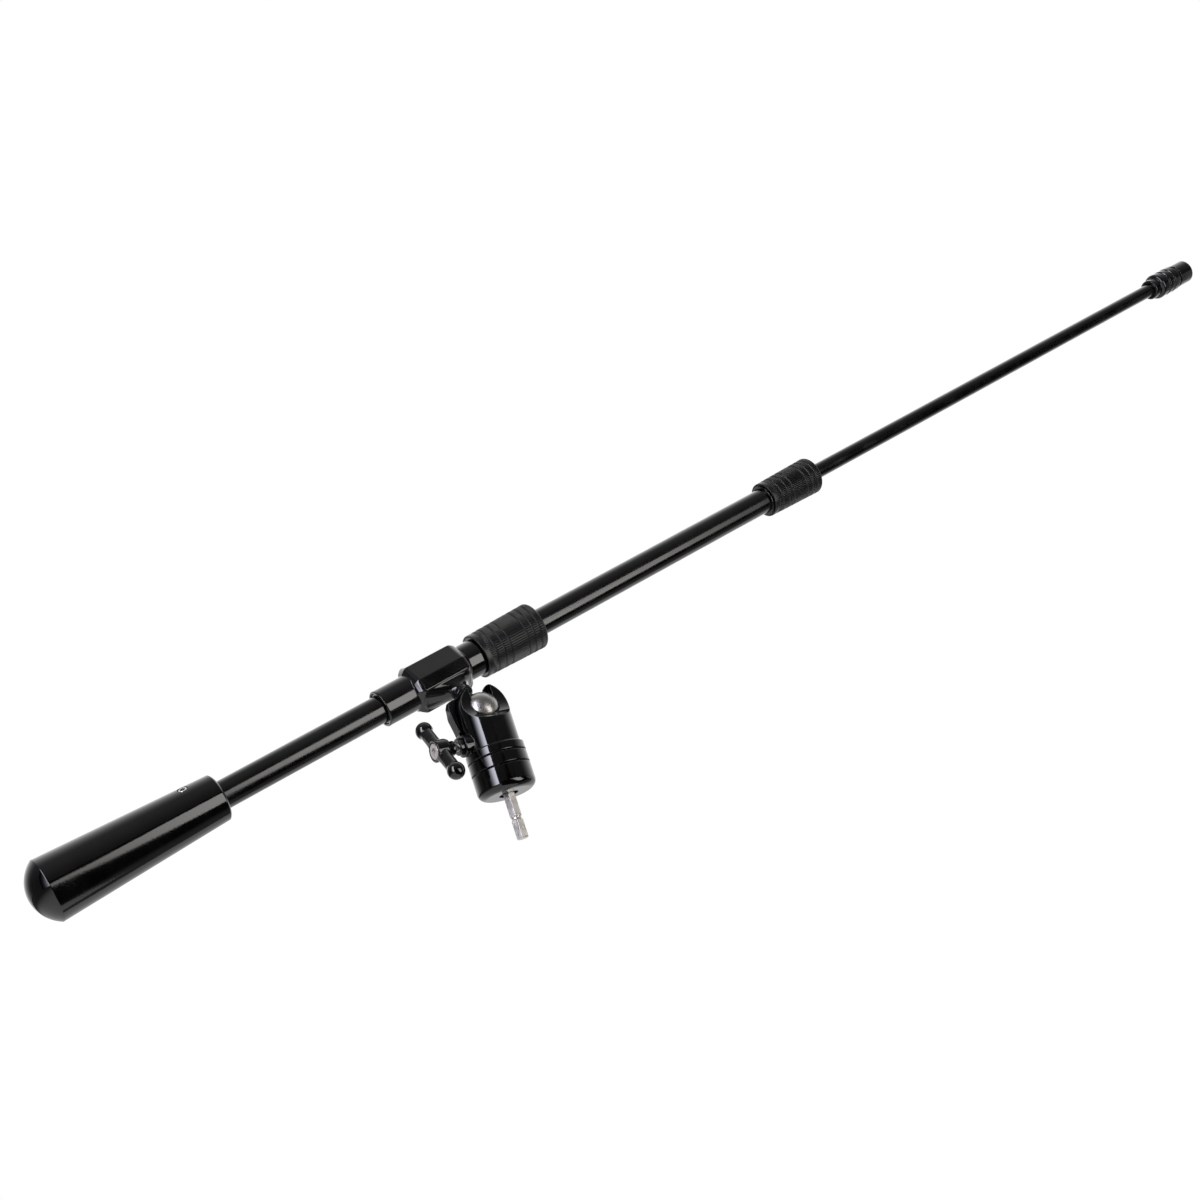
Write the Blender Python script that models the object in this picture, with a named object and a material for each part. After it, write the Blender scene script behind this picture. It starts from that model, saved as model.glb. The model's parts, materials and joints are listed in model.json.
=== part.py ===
"""Telescopic boom arm with a counterweight and a ball swivel head, in metres, +Z up.

The head stands on its hex pin, and the origin is the middle of the pin's lower end.
+Z runs up the pin into the head. +X is the level direction that the boom reaches out in.
"""

import math

import bmesh
import bpy
from mathutils import Matrix, Vector

# Fits
GAP = 0.0003            # gap between two pieces that touch
THREAD_GAP = 0.0003     # gap between a screw and its threaded hole
EDGE = 0.0005           # broken edge on a turned piece
FINE_EDGE = 0.0003      # broken edge on a small piece
TINY = 1e-7             # points closer than this are one

# How the arm is set
HANDLE_BEARING = math.radians(188.6)   # bearing of the clamp screw, seen from above
STEM_LEAN = math.radians(36.6)         # stem's lean from the head's axis
STEM_BEARING = math.radians(112.9)     # bearing that the stem leans to

# Roundness of the solids, in sides
SIDES = 32
TUBE_SIDES = 24
SMALL_SIDES = 16
RIBS = 18               # ribs round a twist grip
ARC_STEPS = 5           # steps along a rounded profile

# Hex pin
PIN_LENGTH = 0.0254
PIN_FLATS = 0.00635
PIN_CHAMFER = 0.0006
PIN_NOTCH_FROM_END = 0.0115
PIN_NOTCH_HALF = 0.0013
PIN_NOTCH_DEPTH = 0.0007
PIN_SEAT = 0.0032       # length of the hex that sits in the cap
PIN_STUD_R = 0.0025
PIN_STUD_LENGTH = 0.0095

# Base cap, pan ring and spindle
BASE_R = 0.0168
CAP_HEIGHT = 0.0134
CAP_FILLET = 0.0045
CAP_RECESS_R = 0.0054
CAP_RECESS_DEPTH = 0.0012
CAP_FLOOR = 0.0046
RING_GROOVE = 0.0006
RING_HEIGHT = 0.0063
HEAD_GROOVE = 0.0006
SPINDLE_R = 0.0060
FLANGE_CLEARANCE = 0.0003   # spindle's flange in the housing's pocket
FLANGE_THICK = 0.0020
RETAINER_BORE_R = 0.0074
RETAINER_THICK = 0.0013
WASHER_THICK = 0.0011
WASHER_CLEARANCE = 0.0007   # thrust washer in the housing's pocket
KEY_PIN_R = 0.0010
KEY_PIN_INSET = 0.0055      # key pin's axis inside the base's radius
KEY_PIN_LENGTH = 0.0070

# Swivel housing
BALL_R = 0.0100
BALL_CLEARANCE = 0.0003
BALL_ABOVE_BASE = 0.0496    # ball's centre above the cap's lower face
HOUSING_R = 0.0152
SKIRT_HEIGHT = 0.0047
SHELF_HEIGHT = 0.0040       # retainer pocket's depth
POCKET_WALL = 0.0023         # housing's wall round the retainer pocket
SLOT_HALF = 0.0069          # half the stem's slot between the horns
HORN_HALF = 0.0052          # half a horn's thickness
SCOOP_R = 0.0160            # curve of the housing's front and back below the horns
SCOOP_ABOVE_BALL = 0.0060
SLIT_HALF = 0.0008
SLIT_DROP = 0.0120          # slit's end below the ball's centre
RELIEF_R = 0.0020
EAR_RISE = 0.0036            # ear's reach past the housing's wall
EAR_WIDTH = 0.0078
EAR_EDGE = 0.0010
EAR_CORNER = 0.0015
EAR_ROOT = 0.0022            # ear's root past the ball's radius
EAR_FOOT = 0.0030            # ear's lowest point below the clamp screw
EAR_HEEL = 0.0010            # where the ear leaves the wall, below the screw
EAR_KNEE = -0.0075           # heights of the ear's corners from the ball's centre
EAR_BULGE_LOW = 0.0005
EAR_BULGE_HIGH = 0.0050
EAR_TOP = 0.0080
EAR_CREST = 0.0095

# Clamp screw and its handle, measured along the screw from the head's axis
CLAMP_DROP = 0.0184         # screw below the ball's centre
BOSS_R = 0.0063
BOSS_RISE = 0.0038           # boss's reach past the housing's wall
BUSH_R = 0.0042
BUSH_FLANGE_R = 0.0048
BUSH_FLANGE_THICK = 0.0022
SCREW_R = 0.0025
SCREW_NOSE_AT = 0.0036
SCREW_NOSE_LENGTH = 0.0030
SCREW_TIP_R = 0.0006
HANDLE_STANDOFF = 0.0050     # handle's hub from the boss
HANDLE_LENGTH = 0.0118
HANDLE_NECK_R = 0.0042
HANDLE_HUB_R = 0.0062
BAR_ALONG_HUB = 0.0081
BAR_HALF = 0.0186           # ball centre from the middle of the bar
BAR_BALL_R = 0.0050
BAR_WAIST_R = 0.0039
BAR_TILT = math.radians(34.4)
CAP_SCREW_HEAD_R = 0.0044
CAP_SCREW_HEAD_THICK = 0.0014
CAP_SCREW_R = 0.0014
CAP_SCREW_LENGTH = 0.0062
CAP_SCREW_HEX_R = 0.0018
CAP_SCREW_HEX_DEPTH = 0.0009

# Ball seat
CUP_RIM_DROP = 0.0060
CUP_HEIGHT = 0.0072
PLUG_FLOOR = 0.0010         # plug above the spindle's flange
PLUG_POCKET_R = 0.0032
BALL_BORE_R = 0.0028
BALL_BORE_FLOOR = 0.0038

# Stem
ARM = 0.0380                # ball's centre to the boom's axis
STEM_R = 0.0039
STEM_SHANK_R = 0.0025
STEM_TOP_R = 0.0034
STEM_TOP_LENGTH = 0.0100
STEM_RING_R = 0.0060
STEM_RING_THICK = 0.0028

# Tubes
TUBE_R = 0.0080
TUBE_WALL = 0.0015
TUBE_SPACE = 0.0015          # between the inner tube and the outer one
INNER_TUBE_WALL = 0.0010
TUBE_FIT = 0.0003           # a tube's gap in a bush, collet or ferrule

# Stations along the boom from the stem's axis, the tip being positive
WEIGHT_END = -0.2494
WEIGHT_RIM = -0.2405
WEIGHT_MOUTH = -0.1427
TUBE_START = -0.2320
COLLAR_START = -0.0417
BLOCK_START = -0.0220
BLOCK_END = 0.0145
NECK_END = 0.0500
CLUTCH_START = 0.0245
CLUTCH_END = 0.0680
SMALL_CLUTCH_START = 0.2560
SMALL_CLUTCH_END = 0.2990
INNER_START = 0.2150
COUPLER_START = 0.6710

# Counterweight
WEIGHT_R = 0.0175
WEIGHT_MOUTH_WALL = 0.0051
WEIGHT_CHAMFER = 0.0010
WEIGHT_RIM_R = 0.0018
SET_SCREW_FROM_MOUTH = 0.0165
SET_SCREW_R = 0.0025
SET_SCREW_LENGTH = 0.0055
SET_SCREW_HEX_R = 0.0014
SET_SCREW_HEX_DEPTH = 0.0018
SET_SCREW_BEARING = math.radians(-110.0)
PLUG_FLANGE = 0.0015
PLUG_DEPTH = 0.0080

# Pivot body
COLLAR_WALL = 0.0015
NECK_WALL = 0.0012
THREAD_WALL = 0.0005
BLOCK_WALL = 0.0039
BLOCK_CORNER = 0.0050
BLOCK_EDGE = 0.0014
BODY_CLEARANCE = 0.0006      # outer tube's gap in the body's middle
BUSH_WALL = 0.0007
BUSH_LENGTH = 0.0140
BUSH_INSET = 0.0010
FLARE_RISE = 0.0065          # stem's seat from the block's face
FLARE_END_R = 0.0056
FLARE_HALF_LENGTH = 0.0160
FLARE_STEPS = (0.0, 0.12, 0.32, 0.6, 1.0)    # places of the flare's rings between face and seat
FLARE_CURVE = 2.4           # how fast the flare narrows
FLARE_SQUARENESS = 4.0      # of its ring at the face, 2 being round

# Clutch on the pivot body
COLLET_SEAT_DEPTH = 0.0240
COLLET_HEAD_LIP = 0.0019     # collet's head past the bush's bore
COLLET_HEAD_LENGTH = 0.0085
COLLET_HEAD_PLAIN = 0.25     # share of a collet's head before it narrows
COLLET_SLITS = 3
COLLET_SLIT_HALF = 0.0005
NUT_WALL = 0.0007
NUT_LIP_CLEARANCE = 0.0004   # a tube's gap in a nut's lip
GRIP_REAR_WALL = 0.00075
GRIP_FRONT_WALL = 0.00175
RIB_DEPTH = 0.00045
GROOVE_DEPTH = 0.0008
GROOVE_WIDTH = 0.0010
GROOVE_PLACES = (0.20, 0.40, 0.74)     # shares of a grip's length
GRIP_ROUNDING = 0.75        # share of a grip's front wall that is rounded over

# Clutch on the outer tube
FERRULE_WALL = 0.0009
FERRULE_STEP = 0.0160       # length of tube inside the ferrule
FERRULE_LENGTH = 0.0285
FERRULE_LEAD = 0.0012       # ferrule's rim behind the grip
SMALL_COLLET_HEAD_LENGTH = 0.0075
SMALL_NUT_WALL = 0.0008
SMALL_GRIP_REAR_WALL = 0.0007
SMALL_GRIP_FRONT_WALL = 0.00155
GUIDE_LENGTH = 0.0120
GUIDE_LIP = 0.0015

# Quick-change coupler, measured from its rear end
COUPLER_COLLAR_WALL = 0.0021
COUPLER_COLLAR_LENGTH = 0.0070
COUPLER_BODY_WALL = 0.0012   # outside the sleeve's pocket
COUPLER_BODY_END = 0.0275
COUPLER_CORE_WALL = 0.0024   # at the socket's corners
COUPLER_CORE_END = 0.0438
COUPLER_TUBE_DEPTH = 0.0130
COUPLER_POCKET_DEPTH = 0.0020
COUPLER_POCKET_FLOOR = 0.0170
COUPLER_RIDGE_DEPTH = 0.0008
COUPLER_RIDGE_HALF = 0.0011
COUPLER_RIDGE_PLACES = (0.36, 0.68)    # shares of the body's length
SLEEVE_RIM = 0.0005          # sleeve's outside past the pocket
SLEEVE_GAP = 0.0030         # sleeve's travel and its margin
SLEEVE_END = 0.0446
SLEEVE_SKIRT_LENGTH = 0.0047
SLEEVE_RELIEF_DEPTH = 0.0010
SLEEVE_RELIEF_LENGTH = 0.0026
SOCKET_FLATS = 0.00675
SOCKET_CLEARANCE = 0.0006   # free depth past the pin's end
DETENT_R = 0.0017
DETENT_COUNT = 3
SPRING_WIRE_R = 0.0004
SPRING_TURNS = 5
SPRING_POINTS = 9           # points in one turn
CLIP_THICK = 0.0010
CLIP_GROOVE_DEPTH = 0.0008
CLIP_FROM_END = 0.0012
GRUB_R = 0.0012
GRUB_LENGTH = 0.0018

# Places worked out from the sizes
CAP_Z = PIN_LENGTH
RING_Z = CAP_Z + CAP_HEIGHT + RING_GROOVE
HOUSING_Z = RING_Z + RING_HEIGHT + HEAD_GROOVE
BALL_Z = CAP_Z + BALL_ABOVE_BASE
SHELF_Z = HOUSING_Z + SHELF_HEIGHT
FLANGE_Z = SHELF_Z - GAP - FLANGE_THICK
CLAMP_Z = BALL_Z - CLAMP_DROP
BALL_BORE = BALL_R + BALL_CLEARANCE
SLIDING_R = BALL_BORE - GAP     # pieces that slide in the housing's bore
KEY_PIN_AT_R = BASE_R - KEY_PIN_INSET
POCKET_R = HOUSING_R - POCKET_WALL
FLANGE_R = POCKET_R - FLANGE_CLEARANCE
WASHER_R = POCKET_R - WASHER_CLEARANCE
EAR_REACH = HOUSING_R + EAR_RISE
BOSS_REACH = HOUSING_R + BOSS_RISE
HANDLE_FROM = BOSS_REACH + HANDLE_STANDOFF
HANDLE_TO = HANDLE_FROM + HANDLE_LENGTH
BAR_AT = HANDLE_FROM + BAR_ALONG_HUB
TUBE_BORE = TUBE_R + TUBE_FIT
TUBE_INSIDE_R = TUBE_R - TUBE_WALL
INNER_TUBE_R = TUBE_INSIDE_R - TUBE_SPACE
INNER_BORE = INNER_TUBE_R + TUBE_FIT
WEIGHT_MOUTH_R = TUBE_BORE + WEIGHT_MOUTH_WALL
BODY_BORE_R = TUBE_R + BODY_CLEARANCE
BUSH_BORE_R = TUBE_BORE + BUSH_WALL + GAP
COLLAR_R = BUSH_BORE_R + COLLAR_WALL
NECK_R = BUSH_BORE_R + NECK_WALL
THREAD_R = BUSH_BORE_R + THREAD_WALL
BLOCK_HALF = BODY_BORE_R + BLOCK_WALL
FLARE_REACH = BLOCK_HALF + FLARE_RISE
COLLET_HEAD_R = BUSH_BORE_R + COLLET_HEAD_LIP
NUT_R = COLLET_HEAD_R + GAP + NUT_WALL
NUT_LIP_R = TUBE_R + NUT_LIP_CLEARANCE
GRIP_BORE = NUT_R + GAP
GRIP_REAR_R = GRIP_BORE + GRIP_REAR_WALL
GRIP_FRONT_R = GRIP_BORE + GRIP_FRONT_WALL
FERRULE_R = TUBE_BORE + FERRULE_WALL
SMALL_COLLET_HEAD_R = FERRULE_R - GAP
SMALL_NUT_R = FERRULE_R + THREAD_GAP + SMALL_NUT_WALL
SMALL_NUT_LIP_R = INNER_TUBE_R + NUT_LIP_CLEARANCE
SMALL_GRIP_BORE = SMALL_NUT_R + GAP
SMALL_GRIP_REAR_R = SMALL_GRIP_BORE + SMALL_GRIP_REAR_WALL
SMALL_GRIP_FRONT_R = SMALL_GRIP_BORE + SMALL_GRIP_FRONT_WALL
COUPLER_COLLAR_R = INNER_BORE + COUPLER_COLLAR_WALL
COUPLER_CORE_R = SOCKET_FLATS / math.sqrt(3) + COUPLER_CORE_WALL
COUPLER_POCKET_R = COUPLER_CORE_R + COUPLER_POCKET_DEPTH
COUPLER_BODY_R = COUPLER_POCKET_R + COUPLER_BODY_WALL
SLEEVE_R = COUPLER_POCKET_R + SLEEVE_RIM
SLEEVE_RELIEF_R = COUPLER_CORE_R + GAP + SLEEVE_RELIEF_DEPTH

COLOURS = {
    "gloss_black": ((0.012, 0.012, 0.014), 0.18, 0.0),
    "satin_black": ((0.030, 0.030, 0.032), 0.38, 0.3),
    "rubber_black": ((0.022, 0.022, 0.024), 0.70, 0.0),
    "anodised_black": ((0.016, 0.016, 0.019), 0.25, 0.6),
    "stainless": ((0.62, 0.59, 0.57), 0.30, 1.0),
    "steel": ((0.45, 0.45, 0.46), 0.35, 1.0),
    "nylon": ((0.75, 0.73, 0.68), 0.50, 0.0),
}


def clear_scene():
    for obj in list(bpy.data.objects):
        bpy.data.objects.remove(obj)


def finish_material(finish):
    if finish in bpy.data.materials:
        return bpy.data.materials[finish]
    colour, roughness, metallic = COLOURS[finish]
    made = bpy.data.materials.new(finish)
    made.use_nodes = True
    shader = made.node_tree.nodes["Principled BSDF"]
    shader.inputs["Base Color"].default_value = (*colour, 1.0)
    shader.inputs["Roughness"].default_value = roughness
    shader.inputs["Metallic"].default_value = metallic
    return made


def guide(name, origin, x_axis, z_axis):
    """An empty that pieces hang from, its axes given in the world."""
    z_axis = Vector(z_axis).normalized()
    x_axis = Vector(x_axis).normalized()
    turn = Matrix((x_axis, z_axis.cross(x_axis), z_axis)).transposed()
    empty = bpy.data.objects.new(name, None)
    empty.location = origin
    empty.rotation_euler = turn.to_euler()
    bpy.context.collection.objects.link(empty)
    return empty


def new_object(name, bm, parent, at=(0, 0, 0), turn=(0, 0, 0)):
    bmesh.ops.remove_doubles(bm, verts=bm.verts, dist=TINY)
    bmesh.ops.recalc_face_normals(bm, faces=bm.faces)
    mesh = bpy.data.meshes.new(name)
    bm.to_mesh(mesh)
    bm.free()
    mesh.shade_smooth()
    mesh.set_sharp_from_angle(angle=math.radians(30))
    obj = bpy.data.objects.new(name, mesh)
    obj.parent = parent
    obj.location = at
    obj.rotation_euler = turn
    bpy.context.collection.objects.link(obj)
    return obj


def piece(name, finish, bm, parent, at=(0, 0, 0), turn=(0, 0, 0)):
    obj = new_object(name, bm, parent, at, turn)
    obj.data.materials.append(finish_material(finish))
    return obj


def tool(name, bm, parent, at=(0, 0, 0), turn=(0, 0, 0)):
    """A shape that only cuts or adds to a piece."""
    obj = new_object(name, bm, parent, at, turn)
    obj.hide_render = True
    obj.display_type = "WIRE"
    return obj


def combine(obj, other, operation):
    step = obj.modifiers.new(operation.lower() + "_" + other.name, "BOOLEAN")
    step.operation = operation
    step.solver = "EXACT"
    step.object = other


def cut(obj, *cutters):
    for cutter in cutters:
        combine(obj, cutter, "DIFFERENCE")


def add(obj, *shapes):
    for shape in shapes:
        combine(obj, shape, "UNION")


def arc(centre_r, centre_z, radius, start, end, steps=ARC_STEPS):
    """Points of an arc in a profile, its angles in degrees from the outward direction."""
    points = []
    for step in range(steps + 1):
        angle = math.radians(start + (end - start) * step / steps)
        reach = radius * math.cos(angle)
        if abs(reach) < TINY:
            reach = 0.0
        points.append((centre_r + reach, centre_z + radius * math.sin(angle)))
    return points


def turned(profile, sides=SIDES):
    """A profile of (radius, height) points spun round Z. One that leaves the axis is closed."""
    bm = bmesh.new()
    verts = [bm.verts.new((radius, 0.0, height)) for radius, height in profile]
    edges = [bm.edges.new(pair) for pair in zip(verts, verts[1:])]
    if min(radius for radius, _ in profile) > 0.0:
        edges.append(bm.edges.new((verts[-1], verts[0])))
    bmesh.ops.spin(
        bm, geom=verts + edges, cent=(0, 0, 0), axis=(0, 0, 1), angle=math.tau, steps=sides, use_merge=True
    )
    return bm


def rod(radius, low, high, sides=SIDES, edge=0.0):
    """A solid cylinder along Z, its ends broken by edge."""
    return turned(
        [(0, low), (radius - edge, low), (radius, low + edge), (radius, high - edge), (radius - edge, high), (0, high)]
        if edge
        else [(0, low), (radius, low), (radius, high), (0, high)],
        sides,
    )


def sleeve(bore, radius, low, high, sides=SIDES, edge=0.0):
    """A tube along Z, its outer edges broken by edge."""
    outer = (
        [(radius - edge, low), (radius, low + edge), (radius, high - edge), (radius - edge, high)]
        if edge
        else [(radius, low), (radius, high)]
    )
    return turned([(bore, low)] + outer + [(bore, high)], sides)


def loft(rings, ring_of_rings=False):
    """Skins rings of points that have the same count, capping both ends or joining last to first."""
    bm = bmesh.new()
    rows = [[bm.verts.new(point) for point in ring] for ring in rings]
    pairs = list(zip(rows, rows[1:]))
    if ring_of_rings:
        pairs.append((rows[-1], rows[0]))
    else:
        bm.faces.new(rows[0])
        bm.faces.new(rows[-1])
    for near, far in pairs:
        for i in range(len(near)):
            j = (i + 1) % len(near)
            bm.faces.new((near[i], near[j], far[j], far[i]))
    return bm


def prism(outline, low, high):
    """An outline of (x, y) points, extruded along Z."""
    return loft([[(x, y, height) for x, y in outline] for height in (low, high)])


def box(low, high):
    outline = [(low[0], low[1]), (high[0], low[1]), (high[0], high[1]), (low[0], high[1])]
    return prism(outline, low[2], high[2])


def hexagon(flats, start=0.0):
    """Corners of a hexagon of this size across its flats."""
    radius = flats / math.sqrt(3)
    return [
        (radius * math.cos(start + math.tau * i / 6), radius * math.sin(start + math.tau * i / 6)) for i in range(6)
    ]


def build_base(head):
    """Hex pin, base cap, pan ring and spindle: what stays still on the stand."""
    stud_top = CAP_Z + PIN_SEAT + PIN_STUD_LENGTH
    seat_top = CAP_Z + PIN_SEAT
    corner = PIN_FLATS / math.sqrt(3)
    pin = piece("hex_pin", "stainless", prism(hexagon(PIN_FLATS), 0.0, seat_top), head)
    notch = PIN_NOTCH_FROM_END
    trim = turned(
        [
            (corner - PIN_CHAMFER, -GAP),
            (corner + PIN_CHAMFER, -GAP),
            (corner + PIN_CHAMFER, PIN_CHAMFER),
            (corner, PIN_CHAMFER),
            (corner - PIN_CHAMFER, 0.0),
        ],
        SMALL_SIDES,
    )
    groove = turned(
        [
            (PIN_FLATS / 2 - PIN_NOTCH_DEPTH / 2, notch - PIN_NOTCH_HALF / 2),
            (corner + PIN_CHAMFER, notch - PIN_NOTCH_HALF - PIN_NOTCH_DEPTH),
            (corner + PIN_CHAMFER, notch + PIN_NOTCH_HALF + PIN_NOTCH_DEPTH),
            (PIN_FLATS / 2 - PIN_NOTCH_DEPTH / 2, notch + PIN_NOTCH_HALF / 2),
        ],
        SMALL_SIDES,
    )
    cut(pin, tool("pin_end_cutter", trim, head), tool("pin_notch_cutter", groove, head))
    add(pin, tool("pin_stud", rod(PIN_STUD_R, seat_top - PIN_CHAMFER, stud_top, SMALL_SIDES), head))

    cap_top = CAP_Z + CAP_HEIGHT
    floor_top = CAP_Z + CAP_FLOOR
    socket_r = corner + GAP
    cap = turned(
        [(CAP_RECESS_R, CAP_Z)]
        + arc(BASE_R - CAP_FILLET, CAP_Z + CAP_FILLET, CAP_FILLET, -90, 0)
        + [
            (BASE_R, cap_top - EDGE),
            (BASE_R - EDGE, cap_top),
            (SPINDLE_R + GAP, cap_top),
            (SPINDLE_R + GAP, floor_top),
            (socket_r, floor_top),
            (socket_r, CAP_Z + CAP_RECESS_DEPTH),
            (CAP_RECESS_R, CAP_Z + CAP_RECESS_DEPTH),
        ]
    )
    cap = piece("base_cap", "gloss_black", cap, head)

    ring_top = RING_Z + RING_HEIGHT
    washer_top = HOUSING_Z - GAP
    washer_floor = washer_top - WASHER_THICK - GAP
    ring = turned(
        [
            (SPINDLE_R + GAP, RING_Z),
            (BASE_R - EDGE, RING_Z),
            (BASE_R, RING_Z + EDGE),
            (BASE_R, ring_top - EDGE),
            (BASE_R - EDGE, ring_top),
            (WASHER_R + GAP, ring_top),
            (WASHER_R + GAP, washer_floor),
            (SPINDLE_R + GAP, washer_floor),
        ]
    )
    ring = piece("pan_ring", "gloss_black", ring, head)
    washer = sleeve(RETAINER_BORE_R, WASHER_R, washer_top - WASHER_THICK, washer_top, SMALL_SIDES * 2)
    piece("thrust_washer", "nylon", washer, head)

    spindle_low = floor_top + GAP
    spindle = turned(
        [
            (PIN_STUD_R + THREAD_GAP, spindle_low),
            (SPINDLE_R, spindle_low),
            (SPINDLE_R, FLANGE_Z),
            (FLANGE_R, FLANGE_Z),
            (FLANGE_R, FLANGE_Z + FLANGE_THICK),
            (PIN_STUD_R + THREAD_GAP, FLANGE_Z + FLANGE_THICK),
        ]
    )
    piece("pan_spindle", "steel", spindle, head)

    key_low = RING_Z - RING_GROOVE - KEY_PIN_LENGTH / 2
    key_high = key_low + KEY_PIN_LENGTH
    for place, side in (("front", 1), ("back", -1)):
        at = (0.0, side * KEY_PIN_AT_R, 0.0)
        key_pin = rod(KEY_PIN_R, key_low, key_high, SMALL_SIDES // 2)
        piece(f"{place}_key_pin", "steel", key_pin, head, at)
        hole = rod(KEY_PIN_R + GAP, key_low - GAP, key_high + GAP, SMALL_SIDES // 2)
        pocket = tool(f"{place}_key_pocket", hole, head, at)
        cut(cap, pocket)
        cut(ring, pocket)


def horn_scoop(side):
    """What is cut from the housing's front or back: a curve that ends in an upright horn face."""
    centre_y = HORN_HALF + SCOOP_R
    centre_z = SCOOP_ABOVE_BALL
    beyond = HOUSING_R * 2
    outline = arc(centre_y, centre_z, SCOOP_R, 180, 270, ARC_STEPS * 2)
    outline += [(beyond, centre_z - SCOOP_R), (beyond, beyond), (HORN_HALF, beyond)]
    return loft([[(x, side * y, BALL_Z + z) for y, z in outline] for x in (-beyond, beyond)])


def clamp_ear():
    """The thick lug on the back half of the split horn."""
    reach = EAR_REACH
    outline = [
        (BALL_R + EAR_ROOT, -CLAMP_DROP - EAR_FOOT),
        (HOUSING_R + GAP, -CLAMP_DROP - EAR_HEEL),
        (reach - EAR_CORNER, EAR_KNEE),
        (reach, EAR_BULGE_LOW),
        (reach, EAR_BULGE_HIGH),
        (reach - EAR_CORNER, EAR_TOP),
        (BALL_R + EAR_ROOT, EAR_CREST),
    ]
    inset = EAR_EDGE
    rings = []
    for y, drawn_in in (
        (-SLIT_HALF / 2, 0.0),
        (-EAR_WIDTH + inset, 0.0),
        (-EAR_WIDTH, inset),
    ):
        rings.append([(x - drawn_in, y, BALL_Z + z) for x, z in outline])
    return loft(rings)


def build_housing(head):
    """The split housing that holds the ball, with its two horns."""
    skirt_top = HOUSING_Z + SKIRT_HEIGHT
    slot_angle = math.degrees(math.acos(SLOT_HALF / HOUSING_R))
    lip_angle = math.degrees(math.acos(SLOT_HALF / BALL_BORE))
    outline = turned(
        [(POCKET_R + GAP, HOUSING_Z), (BASE_R - EDGE, HOUSING_Z), (BASE_R, HOUSING_Z + EDGE)]
        + [(BASE_R, skirt_top - EDGE), (BASE_R - EDGE, skirt_top), (HOUSING_R, skirt_top + EDGE)]
        + arc(0.0, BALL_Z, HOUSING_R, 0, slot_angle)
        + arc(0.0, BALL_Z, BALL_BORE, lip_angle, 0)
        + [(BALL_BORE, SHELF_Z), (POCKET_R + GAP, SHELF_Z)],
        SIDES,
    )
    housing = piece("swivel_housing", "gloss_black", outline, head)
    along_screw = (0.0, math.pi / 2, 0.0)
    at_screw = (0.0, 0.0, CLAMP_Z)
    boss = sleeve(BUSH_R + GAP, BOSS_R, BALL_BORE + GAP, BOSS_REACH, SIDES // 2, EDGE)
    screw_way = rod(BUSH_R + GAP, BALL_R / 2, BOSS_REACH + EDGE, SIDES // 2)
    relief = rod(RELIEF_R, BALL_R / 2, EAR_REACH + EDGE, SMALL_SIDES)
    over = BALL_Z + HOUSING_R * 2
    add(housing, tool("ear_shape", clamp_ear(), head))
    cut(
        housing,
        tool("slot_cutter", box((-SLOT_HALF, -HOUSING_R * 2, BALL_Z), (SLOT_HALF, HOUSING_R * 2, over)), head),
        tool("front_scoop", horn_scoop(1), head),
        tool("back_scoop", horn_scoop(-1), head),
        tool(
            "slit_cutter",
            box((BALL_R / 2, -SLIT_HALF, BALL_Z - SLIT_DROP), (EAR_REACH * 2, SLIT_HALF, over)),
            head,
        ),
        tool("relief_cutter", relief, head, (0.0, 0.0, BALL_Z - SLIT_DROP), along_screw),
        tool("screw_way_cutter", screw_way, head, at_screw, along_screw),
    )
    add(housing, tool("boss_shape", boss, head, at_screw, along_screw))

    retainer_low = HOUSING_Z + GAP
    retainer = sleeve(RETAINER_BORE_R, POCKET_R, retainer_low, retainer_low + RETAINER_THICK, SIDES)
    piece("spindle_retainer", "steel", retainer, head)


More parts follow.
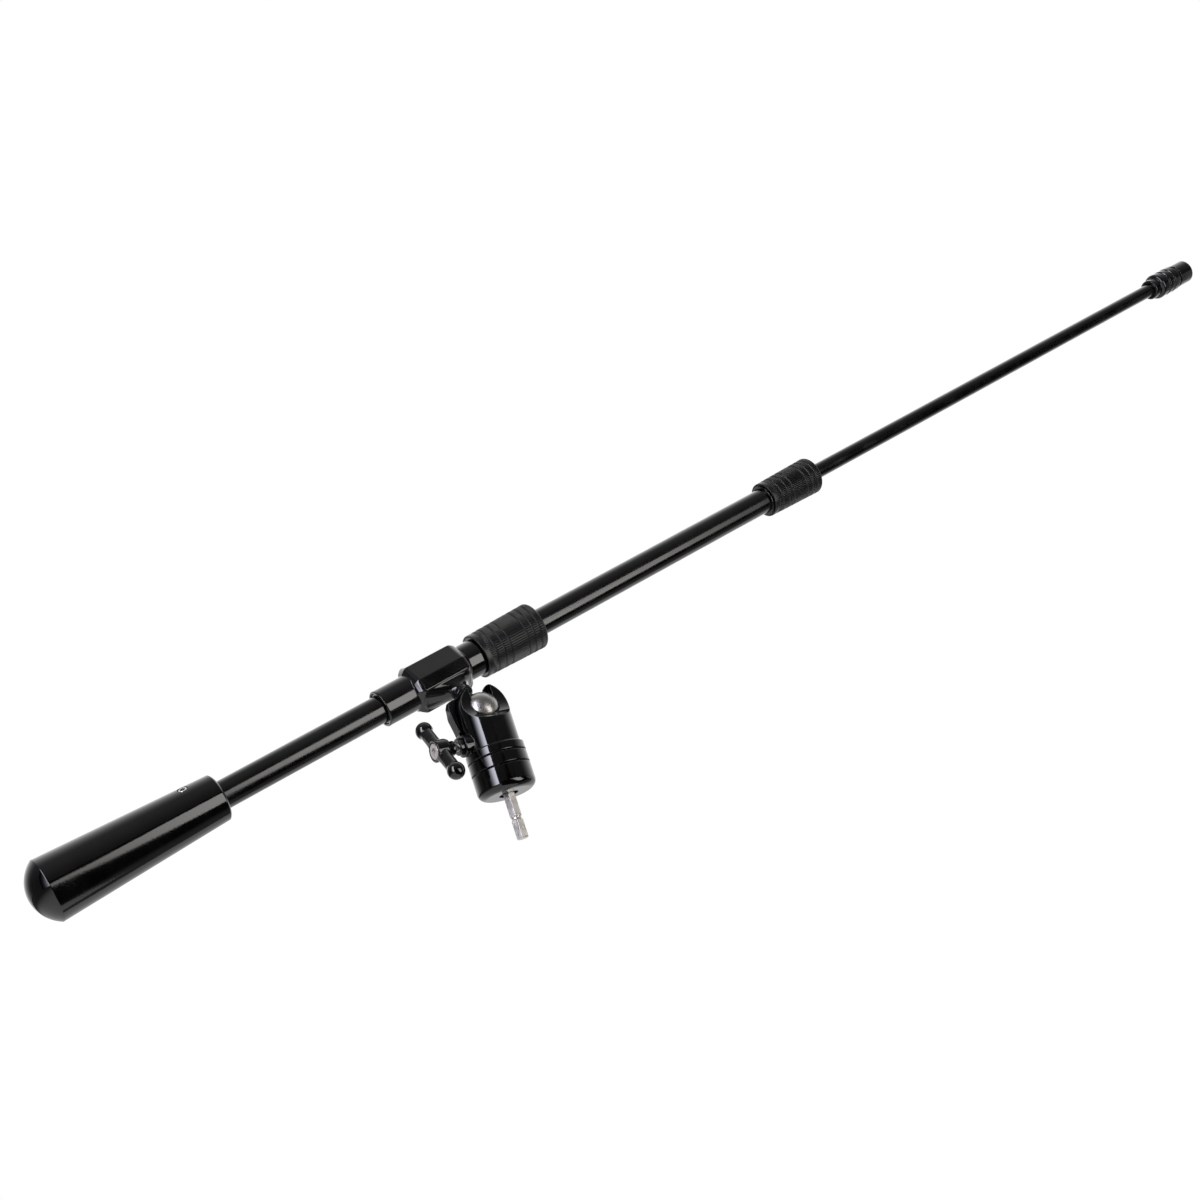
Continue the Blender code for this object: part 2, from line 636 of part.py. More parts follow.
def build_clamp(head):
    """Clamp screw, its bush and the T-handle, all along the screw's axis."""
    axis = bpy.data.objects.new("clamp_axis", None)
    axis.parent = head
    axis.location = (0.0, 0.0, CLAMP_Z)
    axis.rotation_euler = (0.0, math.pi / 2, 0.0)
    bpy.context.collection.objects.link(axis)

    flange_low = BOSS_REACH + GAP
    flange_high = flange_low + BUSH_FLANGE_THICK
    bush = turned(
        [
            (SCREW_R + THREAD_GAP, SLIDING_R + GAP + EDGE),
            (BUSH_R, SLIDING_R + GAP + EDGE),
            (BUSH_R, flange_low),
            (BUSH_FLANGE_R, flange_low),
            (BUSH_FLANGE_R, flange_high - FINE_EDGE),
            (BUSH_FLANGE_R - FINE_EDGE, flange_high),
            (SCREW_R + THREAD_GAP, flange_high),
        ],
        SIDES // 2,
    )
    piece("clamp_bush", "anodised_black", bush, axis)

    head_seat = HANDLE_TO - CAP_SCREW_HEAD_THICK
    screw_end = head_seat - CAP_SCREW_HEAD_THICK
    thread_floor = head_seat - CAP_SCREW_LENGTH - GAP
    nose_end = SCREW_NOSE_AT + SCREW_NOSE_LENGTH
    screw = turned(
        [
            (0.0, SCREW_NOSE_AT),
            (SCREW_TIP_R, SCREW_NOSE_AT),
            (SCREW_R, nose_end),
            (SCREW_R, screw_end),
            (CAP_SCREW_R + THREAD_GAP, screw_end),
            (CAP_SCREW_R + THREAD_GAP, thread_floor),
            (0.0, thread_floor),
        ],
        SMALL_SIDES,
    )
    piece("clamp_screw", "steel", screw, axis)

    hub = turned(
        [
            (SCREW_R + GAP, HANDLE_FROM),
            (HANDLE_NECK_R - EDGE, HANDLE_FROM),
            (HANDLE_NECK_R, HANDLE_FROM + EDGE),
            (HANDLE_NECK_R, BAR_AT - HANDLE_HUB_R + EDGE),
            (HANDLE_HUB_R, BAR_AT - HANDLE_NECK_R + EDGE),
            (HANDLE_HUB_R, HANDLE_TO - EDGE),
            (HANDLE_HUB_R - EDGE, HANDLE_TO),
            (CAP_SCREW_HEAD_R + GAP, HANDLE_TO),
            (CAP_SCREW_HEAD_R + GAP, head_seat - GAP),
            (CAP_SCREW_R + GAP, head_seat - GAP),
            (CAP_SCREW_R + GAP, screw_end + GAP),
            (SCREW_R + GAP, screw_end + GAP),
        ],
        SIDES,
    )
    handle = piece("t_handle", "gloss_black", hub, axis)
    blend = BAR_HALF - math.sqrt((BAR_BALL_R + BAR_WAIST_R) ** 2 - BAR_WAIST_R**2) * 0.5
    half = arc(0.0, BAR_HALF, BAR_BALL_R, 90, -38, ARC_STEPS + 2)
    half[0] = (0.0, BAR_HALF + BAR_BALL_R)
    half += [(BAR_WAIST_R, blend - BAR_WAIST_R / 2), (BAR_WAIST_R, 0.0)]
    profile = half + [(radius, -height) for radius, height in reversed(half[:-1])]
    bar = turned(list(reversed(profile)), SMALL_SIDES)
    across = (math.pi / 2, 0.0, math.pi / 2 + BAR_TILT)
    bar = tool("bar_shape", bar, axis, (0.0, 0.0, BAR_AT), across)
    bore = tool("handle_bore", rod(SCREW_R + GAP, HANDLE_FROM - EDGE, screw_end + GAP, SMALL_SIDES), axis)
    eye_shape = rod(CAP_SCREW_R + GAP, HANDLE_FROM, HANDLE_TO + EDGE, SMALL_SIDES)
    eye = tool("handle_eye", eye_shape, axis)
    recess_shape = rod(CAP_SCREW_HEAD_R + GAP, head_seat - GAP, HANDLE_TO + EDGE, SIDES)
    recess = tool("handle_recess", recess_shape, axis)
    add(handle, bar)
    cut(handle, bore, eye, recess)

    low = head_seat - CAP_SCREW_LENGTH
    cap_screw = turned(
        [
            (0.0, low),
            (CAP_SCREW_R, low),
            (CAP_SCREW_R, head_seat),
            (CAP_SCREW_HEAD_R, head_seat),
            (CAP_SCREW_HEAD_R, HANDLE_TO - FINE_EDGE),
            (CAP_SCREW_HEAD_R - FINE_EDGE, HANDLE_TO),
            (0.0, HANDLE_TO),
        ],
        SIDES,
    )
    cap_screw = piece("handle_screw", "stainless", cap_screw, axis)
    key = prism(hexagon(CAP_SCREW_HEX_R * 2), HANDLE_TO - CAP_SCREW_HEX_DEPTH, HANDLE_TO + EDGE)
    cut(cap_screw, tool("handle_screw_hex", key, axis))


def build_ball_seat(head, stem_axis):
    """Ball, the cup under it and the plug that the clamp screw's nose lifts."""
    rim_z = BALL_Z - CUP_RIM_DROP
    cup_low = rim_z - CUP_HEIGHT
    rim_angle = -math.degrees(math.asin(CUP_RIM_DROP / BALL_BORE))
    cup = turned(
        arc(0.0, BALL_Z, BALL_BORE, -90, rim_angle) + [(SLIDING_R, rim_z), (SLIDING_R, cup_low), (0.0, cup_low)],
        SIDES,
    )
    piece("seat_cup", "nylon", cup, head)

    plug_low = FLANGE_Z + FLANGE_THICK + PLUG_FLOOR
    plug = piece("lift_plug", "nylon", rod(SLIDING_R, plug_low, cup_low - GAP, SIDES, EDGE), head)
    pocket = turned(
        [
            (0.0, SCREW_NOSE_AT - EDGE * 2),
            (SCREW_TIP_R + EDGE * 2, SCREW_NOSE_AT - EDGE * 2),
            (PLUG_POCKET_R, SCREW_NOSE_AT + SCREW_NOSE_LENGTH - EDGE * 2),
            (PLUG_POCKET_R, BALL_BORE + EDGE),
            (0.0, BALL_BORE + EDGE),
        ],
        SMALL_SIDES,
    )
    cut(plug, tool("plug_pocket", pocket, head, (0.0, 0.0, CLAMP_Z), (0.0, math.pi / 2, 0.0)))

    bore_angle = math.degrees(math.acos(BALL_BORE_R / BALL_R))
    ball = turned(
        arc(0.0, 0.0, BALL_R, -90, bore_angle, ARC_STEPS * 2)
        + [(BALL_BORE_R, BALL_BORE_FLOOR), (0.0, BALL_BORE_FLOOR)],
        SIDES,
    )
    piece("ball", "stainless", ball, stem_axis)

    shank_low = BALL_BORE_FLOOR + GAP
    neck_low = BALL_R + GAP
    ring_low = ARM - FLARE_REACH - GAP - STEM_RING_THICK
    top = ARM - FLARE_REACH + STEM_TOP_LENGTH
    stem = turned(
        [
            (0.0, shank_low),
            (STEM_SHANK_R, shank_low),
            (STEM_SHANK_R, neck_low),
            (STEM_R - EDGE, neck_low),
            (STEM_R, neck_low + EDGE),
            (STEM_R, ring_low + STEM_RING_THICK),
            (STEM_TOP_R, ring_low + STEM_RING_THICK),
            (STEM_TOP_R, top - EDGE),
            (STEM_TOP_R - EDGE, top),
            (0.0, top),
        ],
        SMALL_SIDES,
    )
    piece("ball_stem", "gloss_black", stem, stem_axis)
    ring = sleeve(STEM_R + GAP, STEM_RING_R, ring_low, ring_low + STEM_RING_THICK, SIDES // 2, EDGE)
    piece("stem_lock_ring", "gloss_black", ring, stem_axis)


def block_outline(half, corner, z):
    """A square with cut corners, across the boom."""
    side = half - corner
    return [
        (half, -side, z),
        (half, side, z),
        (side, half, z),
        (-side, half, z),
        (-half, side, z),
        (-half, -side, z),
        (-side, -half, z),
        (side, -half, z),
    ]


def flare_ring(reach, half_length, half_width, squareness):
    """A ring of the flare between the block's front face and the round stem seat."""
    ring = []
    for i in range(SMALL_SIDES):
        angle = math.tau * i / SMALL_SIDES
        cos, sin = math.cos(angle), math.sin(angle)
        shrink = (abs(cos) ** squareness + abs(sin) ** squareness) ** (-1.0 / squareness)
        ring.append((reach, half_width * shrink * sin, half_length * shrink * cos))
    return ring


def build_pivot_body(boom):
    """The T-shaped body that the outer tube slides through."""
    edge = BLOCK_EDGE
    block = loft(
        [
            block_outline(BLOCK_HALF - edge, BLOCK_CORNER - edge / 2, BLOCK_START),
            block_outline(BLOCK_HALF, BLOCK_CORNER, BLOCK_START + edge),
            block_outline(BLOCK_HALF, BLOCK_CORNER, BLOCK_END - edge),
            block_outline(BLOCK_HALF - edge, BLOCK_CORNER - edge / 2, BLOCK_END),
        ]
    )
    body = piece("pivot_body", "satin_black", block, boom)
    collar = rod(COLLAR_R, COLLAR_START, BLOCK_START + edge * 2, SIDES, EDGE)
    neck = turned(
        [
            (0.0, BLOCK_END - edge * 2),
            (NECK_R, BLOCK_END - edge * 2),
            (NECK_R, CLUTCH_START - GAP),
            (THREAD_R, CLUTCH_START - GAP),
            (THREAD_R, NECK_END - EDGE),
            (THREAD_R - EDGE, NECK_END),
            (0.0, NECK_END),
        ]
    )
    root = TUBE_R + TUBE_WALL
    rise = FLARE_REACH - BLOCK_HALF
    flat = BLOCK_HALF - BLOCK_CORNER
    middle = (BLOCK_START + BLOCK_END) / 2
    rings = [flare_ring(root, FLARE_HALF_LENGTH, flat, FLARE_SQUARENESS)]
    for part in FLARE_STEPS:
        ease = (1.0 - part) ** FLARE_CURVE
        half_length = FLARE_END_R + (FLARE_HALF_LENGTH - FLARE_END_R) * ease
        half_width = FLARE_END_R + (flat - FLARE_END_R) * ease
        squareness = 2.0 + (FLARE_SQUARENESS - 2.0) * ease
        ring = flare_ring(BLOCK_HALF + rise * part, half_length, half_width, squareness)
        rings.append([(x, y, z + middle * ease) for x, y, z in ring])
    rings[0] = [(root, y, z) for _, y, z in rings[1]]
    add(
        body,
        tool("collar_shape", collar, boom),
        tool("neck_shape", neck, boom),
        tool("flare_shape", loft(rings), boom),
    )
    bush_end = COLLAR_START + BUSH_INSET + BUSH_LENGTH + GAP
    seat = NECK_END - COLLET_SEAT_DEPTH
    bore = turned(
        [
            (0.0, COLLAR_START - EDGE),
            (BUSH_BORE_R, COLLAR_START - EDGE),
            (BUSH_BORE_R, bush_end),
            (BODY_BORE_R, bush_end),
            (BODY_BORE_R, seat),
            (BUSH_BORE_R, seat),
            (BUSH_BORE_R, NECK_END + EDGE),
            (0.0, NECK_END + EDGE),
        ]
    )
    stem_hole_depth = STEM_TOP_LENGTH + GAP
    stem_hole = rod(STEM_TOP_R + THREAD_GAP, FLARE_REACH - stem_hole_depth, FLARE_REACH + EDGE, SMALL_SIDES)
    cut(
        body,
        tool("body_bore", bore, boom),
        tool("stem_hole", stem_hole, boom, (0.0, 0.0, 0.0), (0.0, math.pi / 2, 0.0)),
    )
    bush_low = COLLAR_START + BUSH_INSET
    bush = sleeve(TUBE_BORE, BUSH_BORE_R - GAP, bush_low, bush_low + BUSH_LENGTH, TUBE_SIDES)
    piece("rear_bush", "nylon", bush, boom)


def slit_collet(name, bore, body_r, low, shoulder, head_r, head_length, parent):
    """A split collet: a plain shank, then a head that narrows towards the tip."""
    top = shoulder + head_length
    nose_r = (bore + head_r) / 2
    shape = turned(
        [
            (bore, low),
            (body_r, low),
            (body_r, shoulder),
            (head_r, shoulder),
            (head_r, shoulder + head_length * COLLET_HEAD_PLAIN),
            (nose_r, top),
            (bore, top),
        ],
        TUBE_SIDES,
    )
    collet = piece(name, "nylon", shape, parent)
    slit_low = low + head_length / 2
    for i in range(COLLET_SLITS):
        slit = box((0.0, -COLLET_SLIT_HALF, slit_low), (head_r * 2, COLLET_SLIT_HALF, top + head_length))
        turn = (0.0, 0.0, math.tau * (i + 0.5) / COLLET_SLITS)
        cut(collet, tool(f"{name}_slit_{i}", slit, parent, (0.0, 0.0, 0.0), turn))
    return top, nose_r


def grip_rings(bore, rear_r, front_r, low, high):
    """Rings of a ribbed grip: bands of ribs parted by plain grooves, and a rounded front."""
    length = high - low
    round_over = (front_r - bore) * GRIP_ROUNDING

    def outer(z):
        return rear_r + (front_r - rear_r) * (z - low) / length

    stations = [(low, -EDGE, 0.0), (low + EDGE, 0.0, 0.0)]
    for place in GROOVE_PLACES:
        z = low + length * place
        half = GROOVE_WIDTH / 2
        stations += [
            (z - half, 0.0, 1.0),
            (z - half, -GROOVE_DEPTH, 0.0),
            (z + half, -GROOVE_DEPTH, 0.0),
            (z + half, 0.0, 1.0),
        ]
    stations.insert(2, (low + EDGE * 2, 0.0, 1.0))
    stations += [
        (high - round_over, 0.0, 1.0),
        (high - round_over * 0.4, -round_over * 0.16, 0.6),
        (high, -round_over * 0.7, 0.0),
    ]
    rings = []
    count = RIBS * 2
    for z, offset, ribbed in stations:
        ring = []
        for i in range(count):
            radius = outer(z) + offset - (RIB_DEPTH * ribbed if i % 2 else 0.0)
            angle = math.tau * i / count
            ring.append((radius * math.cos(angle), radius * math.sin(angle), z))
        rings.append(ring)
    for z in (high, low):
        rings.append([(bore * math.cos(math.tau * i / count), bore * math.sin(math.tau * i / count), z) for i in range(count)])
    return rings


def build_clutch(boom):
    """The twist clutch that locks the outer tube in the pivot body."""
    shoulder = NECK_END + GAP
    seat = NECK_END - COLLET_SEAT_DEPTH + GAP
    top, nose_r = slit_collet(
        "main_collet", TUBE_BORE, BUSH_BORE_R - GAP, seat, shoulder, COLLET_HEAD_R, COLLET_HEAD_LENGTH, boom
    )
    low = CLUTCH_START + GAP
    nut = turned(
        [
            (THREAD_R + THREAD_GAP, low),
            (NUT_R, low),
            (NUT_R, CLUTCH_END - EDGE * 2),
            (NUT_R - EDGE * 2, CLUTCH_END),
            (NUT_LIP_R, CLUTCH_END),
            (NUT_LIP_R, top + GAP),
            (nose_r + GAP * 2, top + GAP),
            (COLLET_HEAD_R + GAP, shoulder + COLLET_HEAD_LENGTH * COLLET_HEAD_PLAIN + GAP),
            (COLLET_HEAD_R + GAP, NECK_END - EDGE),
            (THREAD_R + THREAD_GAP, NECK_END - EDGE),
        ]
    )
    piece("main_clutch_nut", "anodised_black", nut, boom)
    rings = grip_rings(GRIP_BORE, GRIP_REAR_R, GRIP_FRONT_R, low, CLUTCH_END - EDGE * 2)
    piece("main_clutch_grip", "rubber_black", loft(rings, True), boom)


def build_outer_tube(boom):
    """Outer tube with its end plug, counterweight and ferrule."""
    ferrule_low = SMALL_CLUTCH_START - FERRULE_LEAD
    step = ferrule_low + FERRULE_STEP
    tube_end = step - GAP
    piece("outer_tube", "anodised_black", sleeve(TUBE_INSIDE_R, TUBE_R, TUBE_START, tube_end, TUBE_SIDES), boom)

    flange_low = TUBE_START - GAP - PLUG_FLANGE
    plug = turned(
        [
            (0.0, flange_low),
            (TUBE_R, flange_low),
            (TUBE_R, flange_low + PLUG_FLANGE),
            (TUBE_INSIDE_R - GAP, flange_low + PLUG_FLANGE),
            (TUBE_INSIDE_R - GAP, TUBE_START + PLUG_DEPTH),
            (0.0, TUBE_START + PLUG_DEPTH),
        ],
        TUBE_SIDES,
    )
    piece("tail_plug", "nylon", plug, boom)

    bore_end = flange_low - GAP
    rim = WEIGHT_RIM_R
    dome = WEIGHT_RIM - WEIGHT_END
    dome_r = (dome**2 + (WEIGHT_R - rim) ** 2) / (2 * dome)
    dome_centre = WEIGHT_END + dome_r
    dome_edge = math.degrees(math.asin((WEIGHT_R - rim) / dome_r))
    weight = turned(
        arc(0.0, dome_centre, dome_r, -90, -90 + dome_edge)
        + arc(WEIGHT_R - rim, WEIGHT_RIM + rim, rim, -60, 0, ARC_STEPS // 2)
        + [
            (WEIGHT_MOUTH_R, WEIGHT_MOUTH - WEIGHT_CHAMFER),
            (WEIGHT_MOUTH_R - WEIGHT_CHAMFER, WEIGHT_MOUTH),
            (TUBE_BORE + WEIGHT_CHAMFER, WEIGHT_MOUTH),
            (TUBE_BORE, WEIGHT_MOUTH - WEIGHT_CHAMFER),
            (TUBE_BORE, bore_end),
            (0.0, bore_end),
        ],
        SIDES,
    )
    weight = piece("counterweight", "gloss_black", weight, boom)
    at = (0.0, 0.0, WEIGHT_MOUTH - SET_SCREW_FROM_MOUTH)
    turn = (0.0, math.pi / 2, SET_SCREW_BEARING)
    hole = rod(SET_SCREW_R + THREAD_GAP, TUBE_R / 2, WEIGHT_R * 2, SMALL_SIDES)
    cut(weight, tool("set_screw_hole", hole, boom, at, turn))
    screw_top = TUBE_R + GAP + SET_SCREW_LENGTH
    screw = piece(
        "counterweight_set_screw",
        "steel",
        rod(SET_SCREW_R, TUBE_R + GAP, screw_top, SMALL_SIDES, FINE_EDGE),
        boom,
        at,
        turn,
    )
    key = prism(hexagon(SET_SCREW_HEX_R * 2), screw_top - SET_SCREW_HEX_DEPTH, screw_top + EDGE)
    cut(screw, tool("set_screw_hex", key, boom, at, turn))

    shank_r = TUBE_INSIDE_R - GAP
    ferrule_end = ferrule_low + FERRULE_LENGTH
    ferrule = turned(
        [
            (TUBE_BORE, ferrule_low),
            (FERRULE_R + EDGE - FINE_EDGE, ferrule_low),
            (FERRULE_R + EDGE, ferrule_low + FINE_EDGE),
            (FERRULE_R + EDGE, ferrule_low + FERRULE_LEAD - GAP),
            (FERRULE_R, ferrule_low + FERRULE_LEAD - GAP),
            (FERRULE_R, ferrule_end),
            (shank_r + GAP, ferrule_end),
            (shank_r + GAP, step),
            (TUBE_BORE, step),
        ]
    )
    piece("tube_ferrule", "gloss_black", ferrule, boom)
    return step, ferrule_end, shank_r


def build_small_clutch(boom, step, ferrule_end, shank_r):
    """The twist clutch that locks the inner tube in the outer one."""
    shoulder = ferrule_end + GAP
    top, nose_r = slit_collet(
        "tube_collet",
        INNER_BORE,
        shank_r,
        step + GAP,
        shoulder,
        SMALL_COLLET_HEAD_R,
        SMALL_COLLET_HEAD_LENGTH,
        boom,
    )
    low = SMALL_CLUTCH_START
    nut = turned(
        [
            (FERRULE_R + THREAD_GAP, low),
            (SMALL_NUT_R, low),
            (SMALL_NUT_R, SMALL_CLUTCH_END - EDGE * 2),
            (SMALL_NUT_R - EDGE * 2, SMALL_CLUTCH_END),
            (SMALL_NUT_LIP_R, SMALL_CLUTCH_END),
            (SMALL_NUT_LIP_R, top + GAP),
            (nose_r + GAP * 2, top + GAP),
            (FERRULE_R + THREAD_GAP, shoulder + SMALL_COLLET_HEAD_LENGTH * COLLET_HEAD_PLAIN + GAP),
        ]
    )
    piece("tube_clutch_nut", "anodised_black", nut, boom)
    rings = grip_rings(SMALL_GRIP_BORE, SMALL_GRIP_REAR_R, SMALL_GRIP_FRONT_R, low, SMALL_CLUTCH_END - EDGE * 2)
    piece("tube_clutch_grip", "rubber_black", loft(rings, True), boom)


def spring_points(low, high, mean_r):
    """Points along the coupler's spring, a plain helix."""
    count = SPRING_TURNS * SPRING_POINTS
    return [
        Vector(
            (
                mean_r * math.cos(math.tau * i / SPRING_POINTS),
                mean_r * math.sin(math.tau * i / SPRING_POINTS),
                low + (high - low) * i / count,
            )
        )
        for i in range(count + 1)
    ]


def least_spring_gap(points):
    """Least gap between two turns of the spring's wire."""
    apart = SPRING_POINTS // 2
    gaps = [
        (points[j] - points[i]).length - 2 * SPRING_WIRE_R
        for i in range(len(points))
        for j in range(i + apart, len(points))
    ]
    return min(gaps)


def build_coupler(boom):
    """Inner tube and the quick-change hex coupler on its end."""
    start = COUPLER_START
    tube_end = start + COUPLER_TUBE_DEPTH
    tube_in = INNER_TUBE_R - INNER_TUBE_WALL
    piece("inner_tube", "anodised_black", sleeve(tube_in, INNER_TUBE_R, INNER_START, tube_end, TUBE_SIDES), boom)
    guide_low = INNER_START - GAP - GUIDE_LIP
    guide_bush = turned(
        [
            (tube_in, guide_low),
            (TUBE_INSIDE_R - GAP, guide_low),
            (TUBE_INSIDE_R - GAP, guide_low + GUIDE_LENGTH),
            (INNER_BORE, guide_low + GUIDE_LENGTH),
            (INNER_BORE, INNER_START - GAP),
            (tube_in, INNER_START - GAP),
        ],
        TUBE_SIDES,
    )
    piece("tube_guide", "nylon", guide_bush, boom)

    socket_depth = PIN_LENGTH + SOCKET_CLEARANCE
    body_end = start + COUPLER_BODY_END
    core_end = start + COUPLER_CORE_END
    ridge = COUPLER_RIDGE_HALF
    depth = COUPLER_RIDGE_DEPTH
    body_low = start + COUPLER_COLLAR_LENGTH
    profile = [
        (INNER_BORE, tube_end + GAP),
        (INNER_BORE, start),
        (COUPLER_COLLAR_R - EDGE * 2, start),
        (COUPLER_COLLAR_R, start + EDGE * 2),
        (COUPLER_COLLAR_R, body_low - EDGE),
        (COUPLER_BODY_R - EDGE * 2, body_low),
        (COUPLER_BODY_R, body_low + EDGE * 2),
    ]
    for share in COUPLER_RIDGE_PLACES:
        z = body_low + (body_end - body_low) * share
        profile += [
            (COUPLER_BODY_R, z - ridge),
            (COUPLER_BODY_R - depth, z - ridge / 2),
            (COUPLER_BODY_R - depth, z + ridge / 2),
            (COUPLER_BODY_R, z + ridge),
        ]
    clip_low = core_end - CLIP_FROM_END - CLIP_THICK - GAP
    clip_high = clip_low + CLIP_THICK + GAP
    profile += [
        (COUPLER_BODY_R, body_end - EDGE),
        (COUPLER_BODY_R - EDGE, body_end),
        (COUPLER_POCKET_R, body_end),
        (COUPLER_POCKET_R, start + COUPLER_POCKET_FLOOR),
        (COUPLER_CORE_R + GAP, start + COUPLER_POCKET_FLOOR),
        (COUPLER_CORE_R + GAP, tube_end + GAP),
    ]
    body = piece("coupler_body", "gloss_black", turned(profile), boom)
    profile = [
        (0.0, tube_end + GAP * 2),
        (COUPLER_CORE_R - FINE_EDGE, tube_end + GAP * 2),
        (COUPLER_CORE_R, tube_end + GAP * 2 + FINE_EDGE),
        (COUPLER_CORE_R, clip_low),
        (COUPLER_CORE_R - CLIP_GROOVE_DEPTH, clip_low),
        (COUPLER_CORE_R - CLIP_GROOVE_DEPTH, clip_high),
        (COUPLER_CORE_R, clip_high),
        (COUPLER_CORE_R, core_end - FINE_EDGE),
        (COUPLER_CORE_R - FINE_EDGE, core_end),
        (0.0, core_end),
    ]
    core = piece("socket_core", "steel", turned(profile), boom)
    socket = prism(hexagon(SOCKET_FLATS), core_end - socket_depth, core_end + EDGE)
    ball_z = core_end - PIN_LENGTH + PIN_NOTCH_FROM_END
    cutters = [tool("hex_socket", socket, boom)]
    ball_at_r = COUPLER_CORE_R - DETENT_R
    for i in range(DETENT_COUNT):
        bearing = math.tau * (i + 0.25) / DETENT_COUNT
        hole = rod(DETENT_R + GAP, 0.0, COUPLER_CORE_R + GAP, SMALL_SIDES // 2)
        turn = (0.0, math.pi / 2, bearing)
        cutters.append(tool(f"detent_hole_{i + 1}", hole, boom, (0.0, 0.0, ball_z), turn))
        place = (ball_at_r * math.cos(bearing), ball_at_r * math.sin(bearing), ball_z)
        ball = turned(arc(0.0, 0.0, DETENT_R, -90, 90, ARC_STEPS + 1), SMALL_SIDES // 2)
        piece(f"detent_ball_{i + 1}", "stainless", ball, boom, place)
    cut(core, *cutters)

    sleeve_low = body_end + SLEEVE_GAP
    sleeve_end = start + SLEEVE_END
    land_r = COUPLER_CORE_R + GAP
    skirt_r = COUPLER_POCKET_R - GAP
    relief_low = ball_z + DETENT_R
    clip_r = SLEEVE_RELIEF_R - GAP
    shoulder = clip_low - GAP
    sliding = turned(
        [
            (land_r, sleeve_low - SLEEVE_SKIRT_LENGTH),
            (skirt_r, sleeve_low - SLEEVE_SKIRT_LENGTH),
            (skirt_r, sleeve_low),
            (SLEEVE_R - EDGE, sleeve_low),
            (SLEEVE_R, sleeve_low + EDGE),
            (SLEEVE_R, sleeve_end - EDGE * 2),
            (SLEEVE_R - EDGE * 2, sleeve_end),
            (SLEEVE_RELIEF_R, sleeve_end),
            (SLEEVE_RELIEF_R, shoulder),
            (land_r, shoulder),
            (land_r, relief_low + SLEEVE_RELIEF_LENGTH + EDGE * 2),
            (SLEEVE_RELIEF_R, relief_low + SLEEVE_RELIEF_LENGTH),
            (SLEEVE_RELIEF_R, relief_low + EDGE * 2),
            (land_r, relief_low),
        ]
    )
    piece("coupler_sleeve", "gloss_black", sliding, boom)

    clip = sleeve(COUPLER_CORE_R - CLIP_GROOVE_DEPTH + GAP, clip_r, clip_low + GAP / 2, clip_high - GAP / 2, SIDES)
    piece("sleeve_clip", "steel", clip, boom)

    spring_low = start + COUPLER_POCKET_FLOOR + GAP + SPRING_WIRE_R
    spring_high = sleeve_low - SLEEVE_SKIRT_LENGTH - GAP - SPRING_WIRE_R
    mean_r = (COUPLER_CORE_R + COUPLER_POCKET_R) / 2
    points = spring_points(spring_low, spring_high, mean_r)
    print("least gap between the spring's turns, mm:", round(least_spring_gap(points) * 1000, 3))
    curve = bpy.data.curves.new("sleeve_spring", "CURVE")
    curve.dimensions = "3D"
    curve.bevel_depth = SPRING_WIRE_R
    curve.bevel_resolution = 1
    curve.use_fill_caps = True
    spline = curve.splines.new("POLY")
    spline.points.add(len(points) - 1)
    for spline_point, point in zip(spline.points, points):
        spline_point.co = (*point, 1.0)
    curve.materials.append(finish_material("steel"))
    spring = bpy.data.objects.new("sleeve_spring", curve)
    spring.parent = boom
    bpy.context.collection.objects.link(spring)

    grub_at = (0.0, 0.0, start + COUPLER_COLLAR_LENGTH / 2)
    grub_turn = (0.0, math.pi / 2, SET_SCREW_BEARING)
    grub_top = INNER_TUBE_R + GAP + GRUB_LENGTH
    grub_hole = rod(GRUB_R + THREAD_GAP, INNER_TUBE_R / 2, COUPLER_COLLAR_R + EDGE, SMALL_SIDES // 2)
    cut(body, tool("grub_hole", grub_hole, boom, grub_at, grub_turn))
    grub = rod(GRUB_R, INNER_TUBE_R + GAP, grub_top, SMALL_SIDES // 2)
    piece("coupler_grub_screw", "steel", grub, boom, grub_at, grub_turn)


def main():
    clear_scene()
    handle_way = Vector((math.cos(HANDLE_BEARING), math.sin(HANDLE_BEARING), 0.0))
    lean = math.sin(STEM_LEAN)
    stem_way = Vector(
        (lean * math.cos(STEM_BEARING), lean * math.sin(STEM_BEARING), math.cos(STEM_LEAN))
    )
    boom_way = Vector((stem_way.z, 0.0, -stem_way.x)).normalized()
    ball_centre = Vector((0.0, 0.0, BALL_Z))
    head = guide("head_axis", (0.0, 0.0, 0.0), handle_way, (0.0, 0.0, 1.0))
    stem_axis = guide("stem_axis", ball_centre, boom_way, stem_way)
    boom = guide("boom_axis", ball_centre + stem_way * ARM, -stem_way, boom_way)
    build_base(head)
    build_housing(head)
    build_clamp(head)
    build_ball_seat(head, stem_axis)
    build_pivot_body(boom)
    build_clutch(boom)
    step, ferrule_end, shank_r = build_outer_tube(boom)
    build_small_clutch(boom, step, ferrule_end, shank_r)
    build_coupler(boom)


main()
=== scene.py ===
"""Telescopic boom arm on a ball swivel head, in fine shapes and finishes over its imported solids."""

import json
import math

import bmesh
import bpy
from bpy.props import FloatProperty, FloatVectorProperty, IntProperty, PointerProperty
from mathutils import Matrix, Vector

